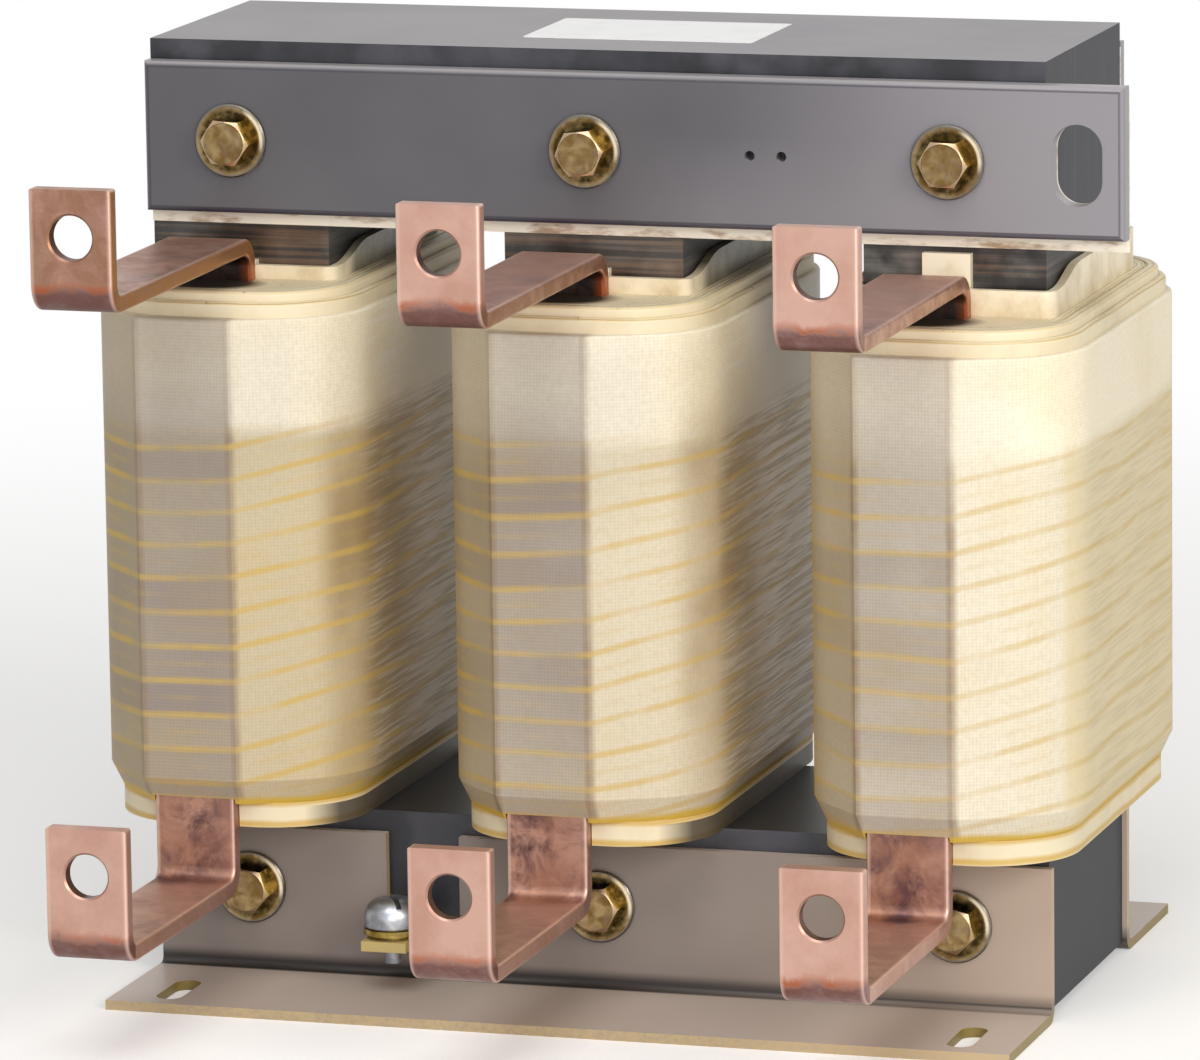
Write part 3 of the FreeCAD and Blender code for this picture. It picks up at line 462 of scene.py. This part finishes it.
# Wrap: woven glass tape, wound in turns and soaked in clear varnish that has yellowed
wrap = {
    "tape": "#f0e8d2",          # the wide top band, nearly dry
    "turned": "#c9bb98",        # the turns below it, soaked
    "smoke": "#978c83",         # painted shade, grey, on the flat facet and the left corner
    "varnish": "#cbab55",       # pooled along each turn's edge
    "selvedge": "#d2ae38",      # left-hand corner and foot
    "cream": "#fff5da",         # painted light on the top band's right-hand corner
    "bare": "#fbf7f0",          # pale dry streaks, and painted light on the rear of the sides in the gaps
    # after the crease colour: painted shade on the right coil's outer side and in the gaps, and darker side
    # streaks that are partly painted shade
    "crease": "#8c745c", "sided": "#dcc894", "scorch": "#8b7148", "soaked": "#9c8455",
    "thread": 1.0,              # mm; real threads are 0.5, drawn coarser so that they show
    "patterns": ((66.67, 1.0), (18.18, 3.0), (38.46, 4.0), (1.4286, 2.0)),  # mm and detail of the noises
    "streaks": (28.57, 28.57, 0.9091),  # mm, stretched along the tape
    "turn": 10.2,               # mm from one edge of tape to the next
    "wander": 3.6,              # mm that an edge strays up and down
    "slope": 0.03,              # mm that it rises for each mm along X
    "climb": 0.16,              # and further right of the facet, for each mm across
    "turnsBelow": 174,          # the top band is one wide piece
    "foot": 60.5,               # yellowed lower edge
    "facet": (-20.5, 8.5),      # the flat facet's two edges, mm from the limb's axis
    "front": -77.5,             # the facet lies forward of this
    "half": 41.5,
    "roughness": 0.55,
}


def makeGlassTape(settings):
    material, add = startMaterial("varnished_glass_tape", settings["roughness"], ior=1.52)
    place, (x, y, z), (nx, ny, nz) = readPlace(add)
    wander, breaks, cloud, fine = (
        add("TexNoise", {"Vector": place, "Scale": 1 / (size * mm), "Detail": detail})
        for size, detail in settings["patterns"])
    drawn = add("VectorMath", {0: place, 1: [size * mm for size in settings["streaks"]]}, operation="DIVIDE")
    streak = add("TexNoise", {"Vector": drawn, "Scale": 1.0, "Detail": 3.0})
    local = add("Math", {0: x, 1: coilPitch / 2, 2: -coilPitch / 2}, operation="WRAP")
    # the coils' numbers: -1, 0 and 1
    coil = add("Math", {0: add("Math", {0: x, 1: coilPitch}, operation="DIVIDE")}, operation="ROUND")
    inGap = add("Math", {0: coil, 1: 0.5}, operation="LESS_THAN")
    outside = add("Math", {0: 1.0, 1: inGap}, operation="SUBTRACT")

    # weave: upright threads run by X on the front and by Y on the sides
    perMetre = math.tau / (settings["thread"] * mm)
    waves = [add("Math", {0: add("Math", {0: axis, 1: perMetre}, operation="MULTIPLY")}, operation="SINE")
             for axis in (x, y, z)]
    sideOn = add("Math", {0: add("Math", {0: nx}, operation="ABSOLUTE"), 1: 0.72}, operation="GREATER_THAN")
    warp = add("Mix", {0: sideOn, 2: waves[0], 3: waves[1]}, data_type="FLOAT")
    weave = add("Math", {0: add("Math", {0: warp, 1: waves[2]}, operation="ADD"), 1: 0.5},
                operation="MULTIPLY")
    woven = add("Math", {0: add("MapRange", {0: weave, 1: -1.0, 2: 1.0, 4: 0.12}),
                         1: add("MapRange", {0: fine, 1: 0.35, 2: 0.75, 4: 0.12})}, operation="ADD")

    # turns: edges of the tape, wandering a little and broken in places, climbing right of the facet
    left, right = (edge * mm for edge in settings["facet"])
    past = add("Math", {0: local, 1: right}, operation="SUBTRACT")
    past = add("Math", {0: past, 1: 0.0}, operation="MAXIMUM")
    drift = add("MapRange", {0: wander, 3: -settings["wander"] * mm, 4: settings["wander"] * mm})
    height = add("Math", {0: z, 1: drift}, operation="ADD")
    height = add("Math", {0: x, 1: -settings["slope"], 2: height}, operation="MULTIPLY_ADD")
    height = add("Math", {0: past, 1: -settings["climb"], 2: height}, operation="MULTIPLY_ADD")
    turns = add("Math", {0: height, 1: settings["turn"] * mm}, operation="DIVIDE")
    phase = add("Math", {0: turns}, operation="FRACT")
    edge = add("Math", {0: add("Math", {0: phase, 1: 0.5}, operation="SUBTRACT")}, operation="ABSOLUTE")
    strong = add("Math", {0: add("MapRange", {0: edge, 1: 0.35, 2: 0.47}, interpolation_type="SMOOTHSTEP"),
                          1: add("MapRange", {0: breaks, 1: 0.34, 2: 0.58, 3: 0.3, 4: 0.85})},
                 operation="MULTIPLY")
    faint = add("Math", {0: add("MapRange", {0: edge, 1: 0.12, 2: 0.0, 4: 0.3}),
                         1: add("MapRange", {0: breaks, 1: 0.45, 2: 0.6})}, operation="MULTIPLY")
    line = add("Math", {0: strong, 1: faint}, operation="MAXIMUM")
    number = add("Math", {0: turns}, operation="FLOOR")
    seed = add("Math", {0: coil, 1: 37.0, 2: number}, operation="MULTIPLY_ADD")
    chance = add("TexWhiteNoise", {"W": seed}, noise_dimensions="1D")
    topBand = settings["turnsBelow"]
    below = add("MapRange", {0: z, 1: (topBand + 4) * mm, 2: (topBand - 4) * mm},
                interpolation_type="SMOOTHSTEP")
    above = add("Math", {0: 1.0, 1: below}, operation="SUBTRACT")

    # painted shade: the flat facet and the corner left of it are grey, each turn a little different
    leftOf = add("MapRange", {0: local, 1: right + 1 * mm, 2: right - 1 * mm})
    frontOf = add("MapRange", {0: y, 1: -20 * mm, 2: -50 * mm})
    uneven = add("Math", {0: add("MapRange", {0: chance, 3: -0.15, 4: 0.18}), 1: below,
                          2: add("MapRange", {0: cloud, 1: 0.3, 2: 0.7, 3: 0.72, 4: 1.0})},
                 operation="MULTIPLY_ADD")
    grey = (leftOf, frontOf, uneven, add("MapRange", {0: z, 1: 165 * mm, 2: 190 * mm, 3: 1.0, 4: 0.6}),
            add("MapRange", {0: coil, 1: -1.0, 2: 1.0, 3: 1.05, 4: 0.85}),
            add("MapRange", {0: z, 1: 74 * mm, 2: 92 * mm, 3: 0.7}))
    leftmost = (add("MapRange", {0: local, 1: left + 1 * mm, 2: left - 1 * mm, 4: 0.22}), frontOf)

    # on the facet the turns' edges are rubbed thin; left of it the varnish is yellower
    forward = add("Math", {0: y, 1: settings["front"] * mm}, operation="LESS_THAN")
    rubbed = add("Math", {0: leftOf, 1: forward}, operation="MULTIPLY")
    rubbed = add("MapRange", {0: rubbed, 3: 1.0, 4: 0.7})
    weaker = add("MapRange", {0: coil, 1: -1.0, 2: 1.0, 3: 0.9, 4: 0.6})
    weaker = add("Math", {0: leftOf, 1: 0.3, 2: weaker}, operation="MULTIPLY_ADD")
    creases = 0.0
    for facetEdge in (left, right):
        off = add("Math", {0: local, 1: facetEdge}, operation="SUBTRACT")
        soft = add("MapRange", {0: add("Math", {0: off}, operation="ABSOLUTE"), 1: 2.2 * mm, 2: 0.4 * mm},
                   interpolation_type="SMOOTHSTEP")
        creases = add("Math", {0: soft, 1: creases}, operation="ADD")
    worn = (add("MapRange", {0: breaks, 1: 0.3, 2: 0.7, 3: 0.35, 4: 0.8}),
            add("MapRange", {0: below, 3: 0.4, 4: 1.0}))

    # the left corner and the foot hold a run of yellow varnish
    half = settings["half"]
    corner = (add("MapRange", {0: local, 1: (3.5 - half) * mm, 2: (0.5 - half) * mm, 4: 0.85}), frontOf,
              add("MapRange", {0: coil, 1: -1.0, 2: 0.0, 3: 0.25, 4: 1.0}))
    waved = add("MapRange", {0: cloud, 3: -1.5 * mm, 4: 1.5 * mm})
    waved = add("Math", {0: z, 1: waved}, operation="ADD")
    foot = add("MapRange", {0: waved, 1: (settings["foot"] + 2.8) * mm, 2: (settings["foot"] + 1.0) * mm,
                            4: 0.95})

    # painted shade in the narrow gaps between the coils, and darker streaks along the turns on the sides,
    # partly painted shade
    scorch = (add("MapRange", {0: nx, 1: 0.62, 2: 0.85}, interpolation_type="SMOOTHSTEP"), inGap,
              add("MapRange", {0: y, 1: 0.0, 2: -30 * mm}),
              add("MapRange", {0: z, 1: 190 * mm, 2: 165 * mm}, interpolation_type="SMOOTHSTEP"),
              add("MapRange", {0: cloud, 1: 0.36, 2: 0.62, 3: 0.3, 4: 0.7}),
              add("MapRange", {0: z, 1: 70 * mm, 2: 125 * mm, 3: 0.45}))
    sideways = (add("MapRange", {0: nx, 1: 0.8, 2: 0.98}),
                add("MapRange", {0: y, 1: -60 * mm, 2: -44 * mm}, interpolation_type="SMOOTHSTEP"))
    # darker streaks on the sides, stronger in the gaps, partly painted shade
    soaked = (*sideways, add("MapRange", {0: streak, 1: 0.46, 2: 0.62, 4: 0.45}), below,
              add("MapRange", {0: inGap, 3: 0.45, 4: 1.3}))
    # pale dry streaks on the sides; further back in the gaps they are wholly pale, which is painted light
    pale = add("Math", {0: add("MapRange", {0: y, 1: -40 * mm, 2: 5 * mm}, interpolation_type="SMOOTHSTEP"),
                        1: add("MapRange", {0: coil, 1: -1.0, 2: 0.0, 3: 0.6, 4: 0.95})},
               operation="MULTIPLY")
    dryAndLit = add("Math", {0: add("MapRange", {0: streak, 1: 0.47, 2: 0.38, 4: 0.6}), 1: pale},
              operation="MAXIMUM")

    colour = layOver(add, linear(settings["tape"]), settings, (
        # the turns below the top band are soaked darker; that the left coil is darkest and the right one
        # least is painted shade
        ("turned", below, add("MapRange", {0: coil, 1: -1.0, 2: 1.0, 3: 0.95, 4: 0.12})),
        # painted light on the top band's right-hand corner
        ("cream", add("MapRange", {0: nx, 1: 0.4, 2: 0.7, 4: 0.9}), above),
        ("smoke", *grey), ("varnish", *leftmost), ("crease", woven),
        ("varnish", add("MapRange", {0: cloud, 1: 0.48, 2: 0.75, 4: 0.22})),
        ("crease", creases, forward, *worn),
        # painted shade: the right coil's outer side is evenly tan below its top band
        ("sided", add("MapRange", {0: nx, 1: 0.84, 2: 0.9, 4: 0.55}), outside, below),
        # painted light on the sides' rear in the gaps, then darker streaks and painted shade in the gaps
        ("bare", *sideways, dryAndLit, inGap), ("soaked", *soaked), ("scorch", *scorch),
        ("varnish", line, below, rubbed, weaker), ("selvedge", *corner), ("selvedge", foot)))
    # relief: threads and the small step at each turn
    step = add("Math", {0: add("MapRange", {0: phase, 4: 0.7}), 1: below}, operation="MULTIPLY")
    relief = add("Math", {0: weave, 1: 0.12, 2: step}, operation="MULTIPLY_ADD")
    connect(material, {
        "Base Color": colour,
        "Normal": add("Bump", {"Height": relief, "Strength": 0.6, "Distance": 0.4 * mm})})
    return material


# Winding's rim and skirt: layers of varnished glass band, seen on edge as cream with fine brown lines
winding = {
    "band": "#eaddbc", "edge": "#97793a", "speck": "#7b5c2e", "fringe": "#cda42f",
    "shadow": "#37322a",        # painted shade on the skirt's flanks in the gaps between the coils
    "char": "#1a120b",          # painted shadow round the start lead's slot, under its run
    "fringeLevels": (54.0, 60.3),  # mm: yellow varnish along the skirt's two edges
    "layer": 1.7,               # mm from one layer to the next
    "half": (41.5, 80), "corner": 31,   # mm: the coil's outline
    "leadSlot": (-6, -61),      # mm: middle of the start lead's slot in the rim
    "patterns": ((28.57, 2.0), (2.381, 3.0), (25, 4.0)),    # mm and detail of the noises
    "roughness": 0.5,
}


def makeGlassBand(settings):
    material, add = startMaterial("layered_glass_band", settings["roughness"], ior=1.52)
    place, (x, y, z), (nx, ny, nz) = readPlace(add)
    wobble, specks, cloud = (
        add("TexNoise", {"Vector": place, "Scale": 1 / (size * mm), "Detail": detail})
        for size, detail in settings["patterns"])
    local = add("Math", {0: x, 1: coilPitch / 2, 2: -coilPitch / 2}, operation="WRAP")
    # distance in from the coil's rounded outline
    reach = []
    for axis, half in zip((local, y), settings["half"]):
        size = add("Math", {0: axis}, operation="ABSOLUTE")
        size = add("Math", {0: size, 1: (half - settings["corner"]) * mm}, operation="SUBTRACT")
        reach.append(add("Math", {0: size, 1: 0.0}, operation="MAXIMUM"))
    outline = add("CombineXYZ", {0: reach[0], 1: reach[1]})
    away = add("VectorMath", {0: outline}, output=1, operation="LENGTH")
    strayed = add("MapRange", {0: wobble, 3: -0.5 * mm, 4: 0.5 * mm})
    away = add("Math", {0: away, 1: strayed}, operation="ADD")
    bands = add("Math", {0: away, 1: settings["layer"] * mm}, operation="DIVIDE")
    phase = add("Math", {0: bands, 1: 0.5}, operation="PINGPONG")
    top = add("MapRange", {0: nz, 1: 0.3, 2: 0.8, 3: 0.1, 4: 1.0})
    line = add("MapRange", {0: phase, 1: 0.14, 2: 0.02}, interpolation_type="SMOOTHSTEP")
    line = add("Math", {0: line, 1: top}, operation="MULTIPLY")
    # distance from the start lead's slot, longer across the strip
    slotX, slotY = (spot * mm for spot in settings["leadSlot"])
    around = add("CombineXYZ", {0: local, 1: y})
    around = add("VectorMath", {0: around, 1: (slotX, slotY, 0)}, operation="SUBTRACT")
    around = add("VectorMath", {0: around, 1: (1.0, 1.6, 0.0)}, operation="MULTIPLY")
    around = add("VectorMath", {0: around}, output=1, operation="LENGTH")
    ragged = add("MapRange", {0: cloud, 3: -4 * mm, 4: 4 * mm})
    around = add("Math", {0: around, 1: ragged}, operation="ADD")
    layers = [
        ("edge", add("MapRange", {0: cloud, 1: 0.48, 2: 0.8, 4: 0.3})), ("edge", line, 0.7),
        # varnish pooled on the rims' rounded edges
        ("fringe", add("MapRange", {0: nz, 1: 0.25, 2: 0.6}), add("MapRange", {0: nz, 1: 0.95, 2: 0.7}),
         0.35),
        ("speck", add("MapRange", {0: specks, 1: 0.66, 2: 0.74, 4: 0.6}), top),
        # painted shadow round the start lead's slot
        ("char", add("MapRange", {0: around, 1: 20 * mm, 2: 14 * mm, 4: 0.97}),
         add("Math", {0: z, 1: midHeight}, operation="GREATER_THAN"))]
    waved = add("MapRange", {0: wobble, 3: -1.2 * mm, 4: 1.2 * mm})
    waved = add("Math", {0: z, 1: waved}, operation="ADD")
    for height in settings["fringeLevels"]:
        off = add("Math", {0: waved, 1: height * mm}, operation="SUBTRACT")
        off = add("Math", {0: off}, operation="ABSOLUTE")
        layers.append(("fringe", add("MapRange", {0: off, 1: 1.5 * mm, 2: 0.4 * mm, 4: 0.75})))
    skirtTop = (settings["fringeLevels"][1] - 1.2) * mm
    # painted shade on the skirt's flanks in the gaps
    layers.append(("shadow", add("MapRange", {0: nx, 1: 0.55, 2: 0.85, 4: 0.9}),
                   add("Math", {0: z, 1: skirtTop}, operation="LESS_THAN"),
                   add("Math", {0: x, 1: lastGap}, operation="LESS_THAN")))
    connect(material, {
        "Base Color": layOver(add, linear(settings["band"]), settings, layers),
        "Normal": add("Bump", {"Height": line, "Strength": 0.5, "Distance": 0.25 * mm}, invert=True)})
    return material


# Formers, wedges, liners, plates and sleeves: glass-filled resin board, cream and faintly glossy
formerBoard = {"colour": "#f4e8cb", "stain": "#b3965a", "stainFrom": 0.43, "stainTo": 0.7, "stainSize": 24,
               "shaded": "#4a4526",     # painted shade on the formers' sides in the gaps between the coils
               "fibre": 0.9, "roughness": 0.4}
wedgeBoard = {"colour": "#f4ead0", "stain": "#cdb784", "stainFrom": 0.45, "stainTo": 0.78, "stainSize": 9,
              "fibre": 0.7, "roughness": 0.45}
# varnish ran out along the liners and browned in patches
linerBoard = {"colour": "#fff6e2", "stain": "#97672f", "stainFrom": 0.5, "stainTo": 0.62, "stainSize": 22,
              "stretch": (1.0, 1.0, 3.5), "fibre": 0.7, "roughness": 0.35}
gapBoard = {"colour": "#c9b98c", "stain": "#8f7b48", "stainFrom": 0.45, "stainTo": 0.78, "stainSize": 12,
            "fibre": 0.9, "roughness": 0.5}
sleeveBoard = {"colour": "#b89a5e", "stain": "#8a6a35", "stainFrom": 0.45, "stainTo": 0.78, "stainSize": 10,
               "fibre": 0.6, "roughness": 0.5}


def makeBoard(name, settings):
    material, add = startMaterial(name, settings["roughness"], ior=1.54)
    place = add("TexCoord", output=3)
    pulled = add("VectorMath", {0: place, 1: settings.get("stretch", (1.0, 1.0, 1.0))}, operation="MULTIPLY")
    cloud = add("TexNoise", {"Vector": pulled, "Scale": 1 / (settings["stainSize"] * mm), "Detail": 6.0,
                             "Roughness": 0.6})
    fibres = add("VectorMath", {0: place, 1: (5 * mm, 5 * mm, settings["fibre"] * mm)}, operation="DIVIDE")
    lines = add("TexNoise", {"Vector": fibres, "Scale": 1.0, "Detail": 3.0})
    stained = add("MapRange", {0: cloud, 1: settings["stainFrom"], 2: settings["stainTo"], 4: 0.75})
    layers = [("stain", stained)]
    if "shaded" in settings:
        x, y, z = add("SeparateXYZ", {0: place}).node.outputs
        local = add("Math", {0: x, 1: coilPitch / 2, 2: -coilPitch / 2}, operation="WRAP")
        # painted shade on the formers' right-hand sides in the gaps
        layers.append(("shaded", add("MapRange", {0: local, 1: 24 * mm, 2: 27 * mm}),
                       add("MapRange", {0: y, 1: -38 * mm, 2: -30 * mm}),
                       add("Math", {0: x, 1: lastGap}, operation="LESS_THAN"),
                       add("MapRange", {0: cloud, 1: 0.35, 2: 0.6, 3: 0.7, 4: 0.95})))
    connect(material, {
        "Base Color": layOver(add, linear(settings["colour"]), settings, layers),
        "Normal": add("Bump", {"Height": lines, "Strength": 0.2, "Distance": 0.1 * mm})})
    return material


# Fasteners: zinc plate, passivated yellow on the bolts, olive on the earth washer and clear on its screw,
# which the eye reads as brassy, greenish and silver with soft darker patches
yellowZinc = {
    # the grime colour also gives the painted shade on the heads' upward flats
    "light": "#a48d63", "deep": "#7d6237", "tint": "#8a7668", "grime": "#31270f", "worn": "#7d7973",
    "patch": 4.0,               # mm across the passivation's patches
    "ring": (6.6, 9.9),         # mm from the bolt's axis: a darker ring round the head
    "rub": (9.9, 10.4),         # outside these the washer's plating is rubbed to grey
    "glint": "#f6ead0",         # and a painted highlight in a crescent on the washer's right-hand side
    "glintRing": (9.7, 10.2), "glintWay": (0.91, 0.42, 0),     # mm, and its side of the bolt
    "head": 7.9,                # mm: the hexagon lies within this
    # painted highlights on the heads' right-hand flats and round their chamfers
    "flat": "#cdb35c", "chamfer": "#bfa688",
    "roughness": 0.27,
}
earthZinc = {"light": "#c2ab62", "deep": "#7c6426", "tint": "#9a8b5c", "patch": 5, "roughness": 0.28}
clearZinc = {"light": "#c3c5c9", "deep": "#8d9095", "tint": "#a9b1bf", "patch": 6, "roughness": 0.36}


def makeZinc(name, settings):
    material, add = startMaterial(name, settings["roughness"], metallic=1.0)
    place = add("TexCoord", output=3)
    patch = settings["patch"] * mm
    cloud = add("TexNoise", {"Vector": place, "Scale": 1 / patch, "Detail": 3.0, "Distortion": 0.6})
    sheen = add("TexNoise", {"Vector": place, "Scale": 1.7 / patch, "Detail": 2.0})
    layers = [("deep", add("MapRange", {0: cloud, 1: 0.36, 2: 0.62})),
              ("tint", add("MapRange", {0: sheen, 1: 0.52, 2: 0.7, 4: 0.55}))]
    if "grime" in settings:
        # way and distance from the axis of the nearest bolt
        x, y, z = add("SeparateXYZ", {0: place}).node.outputs
        nx, ny, nz = add("SeparateXYZ", {0: add("NewGeometry", output=1)}).node.outputs
        local = add("Math", {0: x, 1: coilPitch / 2, 2: -coilPitch / 2}, operation="WRAP")
        upperRow, lowerRow = (sum(corner[2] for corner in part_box(f"middle_{row}_bolt")) / 2
                              for row in ("upper", "lower"))
        row = add("Math", {0: z, 1: midHeight}, operation="GREATER_THAN")
        row = add("MapRange", {0: row, 3: lowerRow, 4: upperRow})
        rise = add("Math", {0: z, 1: row}, operation="SUBTRACT")
        way = add("CombineXYZ", {0: local, 1: rise})
        away = add("VectorMath", {0: way}, output=1, operation="LENGTH")
        inner, outer = (radius * mm for radius in settings["ring"])
        rubFrom, rubTo = (radius * mm for radius in settings["rub"])
        dirt = (add("MapRange", {0: away, 1: inner - 0.8 * mm, 2: inner}),
                add("MapRange", {0: away, 1: outer, 2: outer - 1.2 * mm}),
                add("MapRange", {0: sheen, 1: 0.3, 2: 0.6, 3: 0.4, 4: 0.95}))
        # painted highlight: a crescent on the washer's right-hand side
        turned = add("VectorMath", {0: way, 1: settings["glintWay"]}, output=1, operation="DOT_PRODUCT")
        turned = add("Math", {0: turned, 1: away}, operation="DIVIDE")
        glintFrom, glintTo = (radius * mm for radius in settings["glintRing"])
        glint = (add("MapRange", {0: away, 1: glintFrom - 0.5 * mm, 2: glintFrom}),
                 add("MapRange", {0: away, 1: glintTo + 0.5 * mm, 2: glintTo}),
                 add("MapRange", {0: turned, 1: 0.7, 2: 0.95}, interpolation_type="SMOOTHSTEP"))
        onHead = add("Math", {0: away, 1: settings["head"] * mm}, operation="LESS_THAN")
        forward = add("Math", {0: ny}, operation="ABSOLUTE")
        # a darker ring round the head, a painted highlight on the washer, painted shade on the head's upward
        # flats, painted highlights on its right-hand flats and chamfer
        layers += [("grime", *dirt), ("worn", add("MapRange", {0: away, 1: rubFrom, 2: rubTo, 4: 0.85})),
                   ("glint", *glint), ("grime", add("MapRange", {0: nz, 1: 0.5, 2: 0.9, 4: 0.8}), onHead),
                   ("flat", add("MapRange", {0: nx, 1: 0.3, 2: 0.7, 4: 0.9}), onHead),
                   ("chamfer", add("MapRange", {0: forward, 1: 0.98, 2: 0.92}),
                    add("MapRange", {0: forward, 1: 0.3, 2: 0.4}), onHead, 0.8)]
    connect(material, {
        "Base Color": layOver(add, linear(settings["light"]), settings, layers),
        "Roughness": add("MapRange", {0: cloud, 1: 0.3, 2: 0.7, 3: settings["roughness"] - 0.07,
                                      4: settings["roughness"] + 0.12}),
        "Normal": add("Bump", {"Height": sheen, "Strength": 0.2, "Distance": 0.15 * mm})})
    return material


dress(["lower_yoke", "upper_yoke"], makeCoreSteel("dipped_core_steel", core))
dress(["front_top_bar", "back_top_bar"], makePaint("sprayed_bar_paint", barPaint))
dress(["front_foot_angle", "back_foot_angle"], makePaint("sprayed_foot_paint", footPaint))
dress(["front_bar_liner", "back_bar_liner"], makeBoard("varnished_liner_board", linerBoard))
dress(["bolt_sleeves"], makeBoard("wound_paper_sleeve", sleeveBoard))
dress(["earth_washer"], makeZinc("olive_passivated_zinc", earthZinc))
dress(["earth_screw"], makeZinc("clear_passivated_zinc", clearZinc))
for material, pieces in (
        (makeCoreSteel("dipped_limb_steel", limbs), ("limb",)),
        (makeCopper(copper), ("start_lead", "finish_lead")),
        (makeGlassTape(wrap), ("coil_wrap",)),
        (makeGlassBand(winding), ("winding",)),
        (makeBoard("moulded_former_resin", formerBoard), ("coil_former",)),
        (makeBoard("pressed_wedge_board", wedgeBoard), ("wedge",)),
        (makeBoard("pressed_gap_board", gapBoard), ("gap_plates",)),
        (makeZinc("yellow_passivated_zinc", yellowZinc),
         [f"{row}_{piece}" for row in ("upper", "lower")
          for piece in ("bolt", "nut", "front_washer", "back_washer")])):
    dress([f"{phase}_{piece}" for phase in phases for piece in pieces], material)
print("materials made")


# Rating label: blank white polyester film on the upper yoke, smooth and a little grubby
label = {
    "low": (-28.5, -22), "high": (42.5, 22),    # mm: two opposite corners
    "thickness": 0.15, "corner": 1.2, "cornerSteps": 4,
    "film": "#fdfdfc", "grime": "#d8d5cc", "grimeSize": 11.11, "roughness": 0.3,
}


def makeLabel(settings):
    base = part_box("upper_yoke")[1][2]
    radius = settings["corner"] * mm
    left, front = (spot * mm + radius for spot in settings["low"])
    right, back = (spot * mm - radius for spot in settings["high"])
    outline = []
    for centreX, centreY, start in ((right, back, 0), (left, back, 90), (left, front, 180),
                                    (right, front, 270)):
        for step in range(settings["cornerSteps"] + 1):
            angle = math.radians(start + step * 90 / settings["cornerSteps"])
            outline.append((centreX + radius * math.cos(angle), centreY + radius * math.sin(angle)))
    sheet = bmesh.new()
    lower = [sheet.verts.new((x, y, base)) for x, y in outline]
    upper = [sheet.verts.new((x, y, base + settings["thickness"] * mm)) for x, y in outline]
    sheet.faces.new(upper)
    sheet.faces.new(list(reversed(lower)))
    for i in range(len(outline)):
        j = (i + 1) % len(outline)
        sheet.faces.new((lower[i], lower[j], upper[j], upper[i]))
    mesh = bpy.data.meshes.new("blank_label")
    sheet.to_mesh(mesh)
    sheet.free()
    piece = bpy.data.objects.new("blank_label", mesh)
    bpy.context.collection.objects.link(piece)
    material, add = startMaterial("polyester_label_film", settings["roughness"], ior=1.57)
    cloud = add("TexNoise", {"Vector": add("TexCoord", output=3), "Scale": 1 / (settings["grimeSize"] * mm),
                             "Detail": 5.0})
    grubby = add("MapRange", {0: cloud, 1: 0.5, 2: 0.8, 4: 0.35})
    connect(material, {
        "Base Color": layOver(add, linear(settings["film"]), settings, [("grime", grubby)]),
        "Normal": add("Bump", {"Height": cloud, "Strength": 0.1, "Distance": 0.1 * mm})})
    mesh.materials.append(material)
    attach(piece, "root")


makeLabel(label)
print("label made")

bpy.context.scene.view_settings.view_transform = "Standard"
bpy.context.view_layer.update()
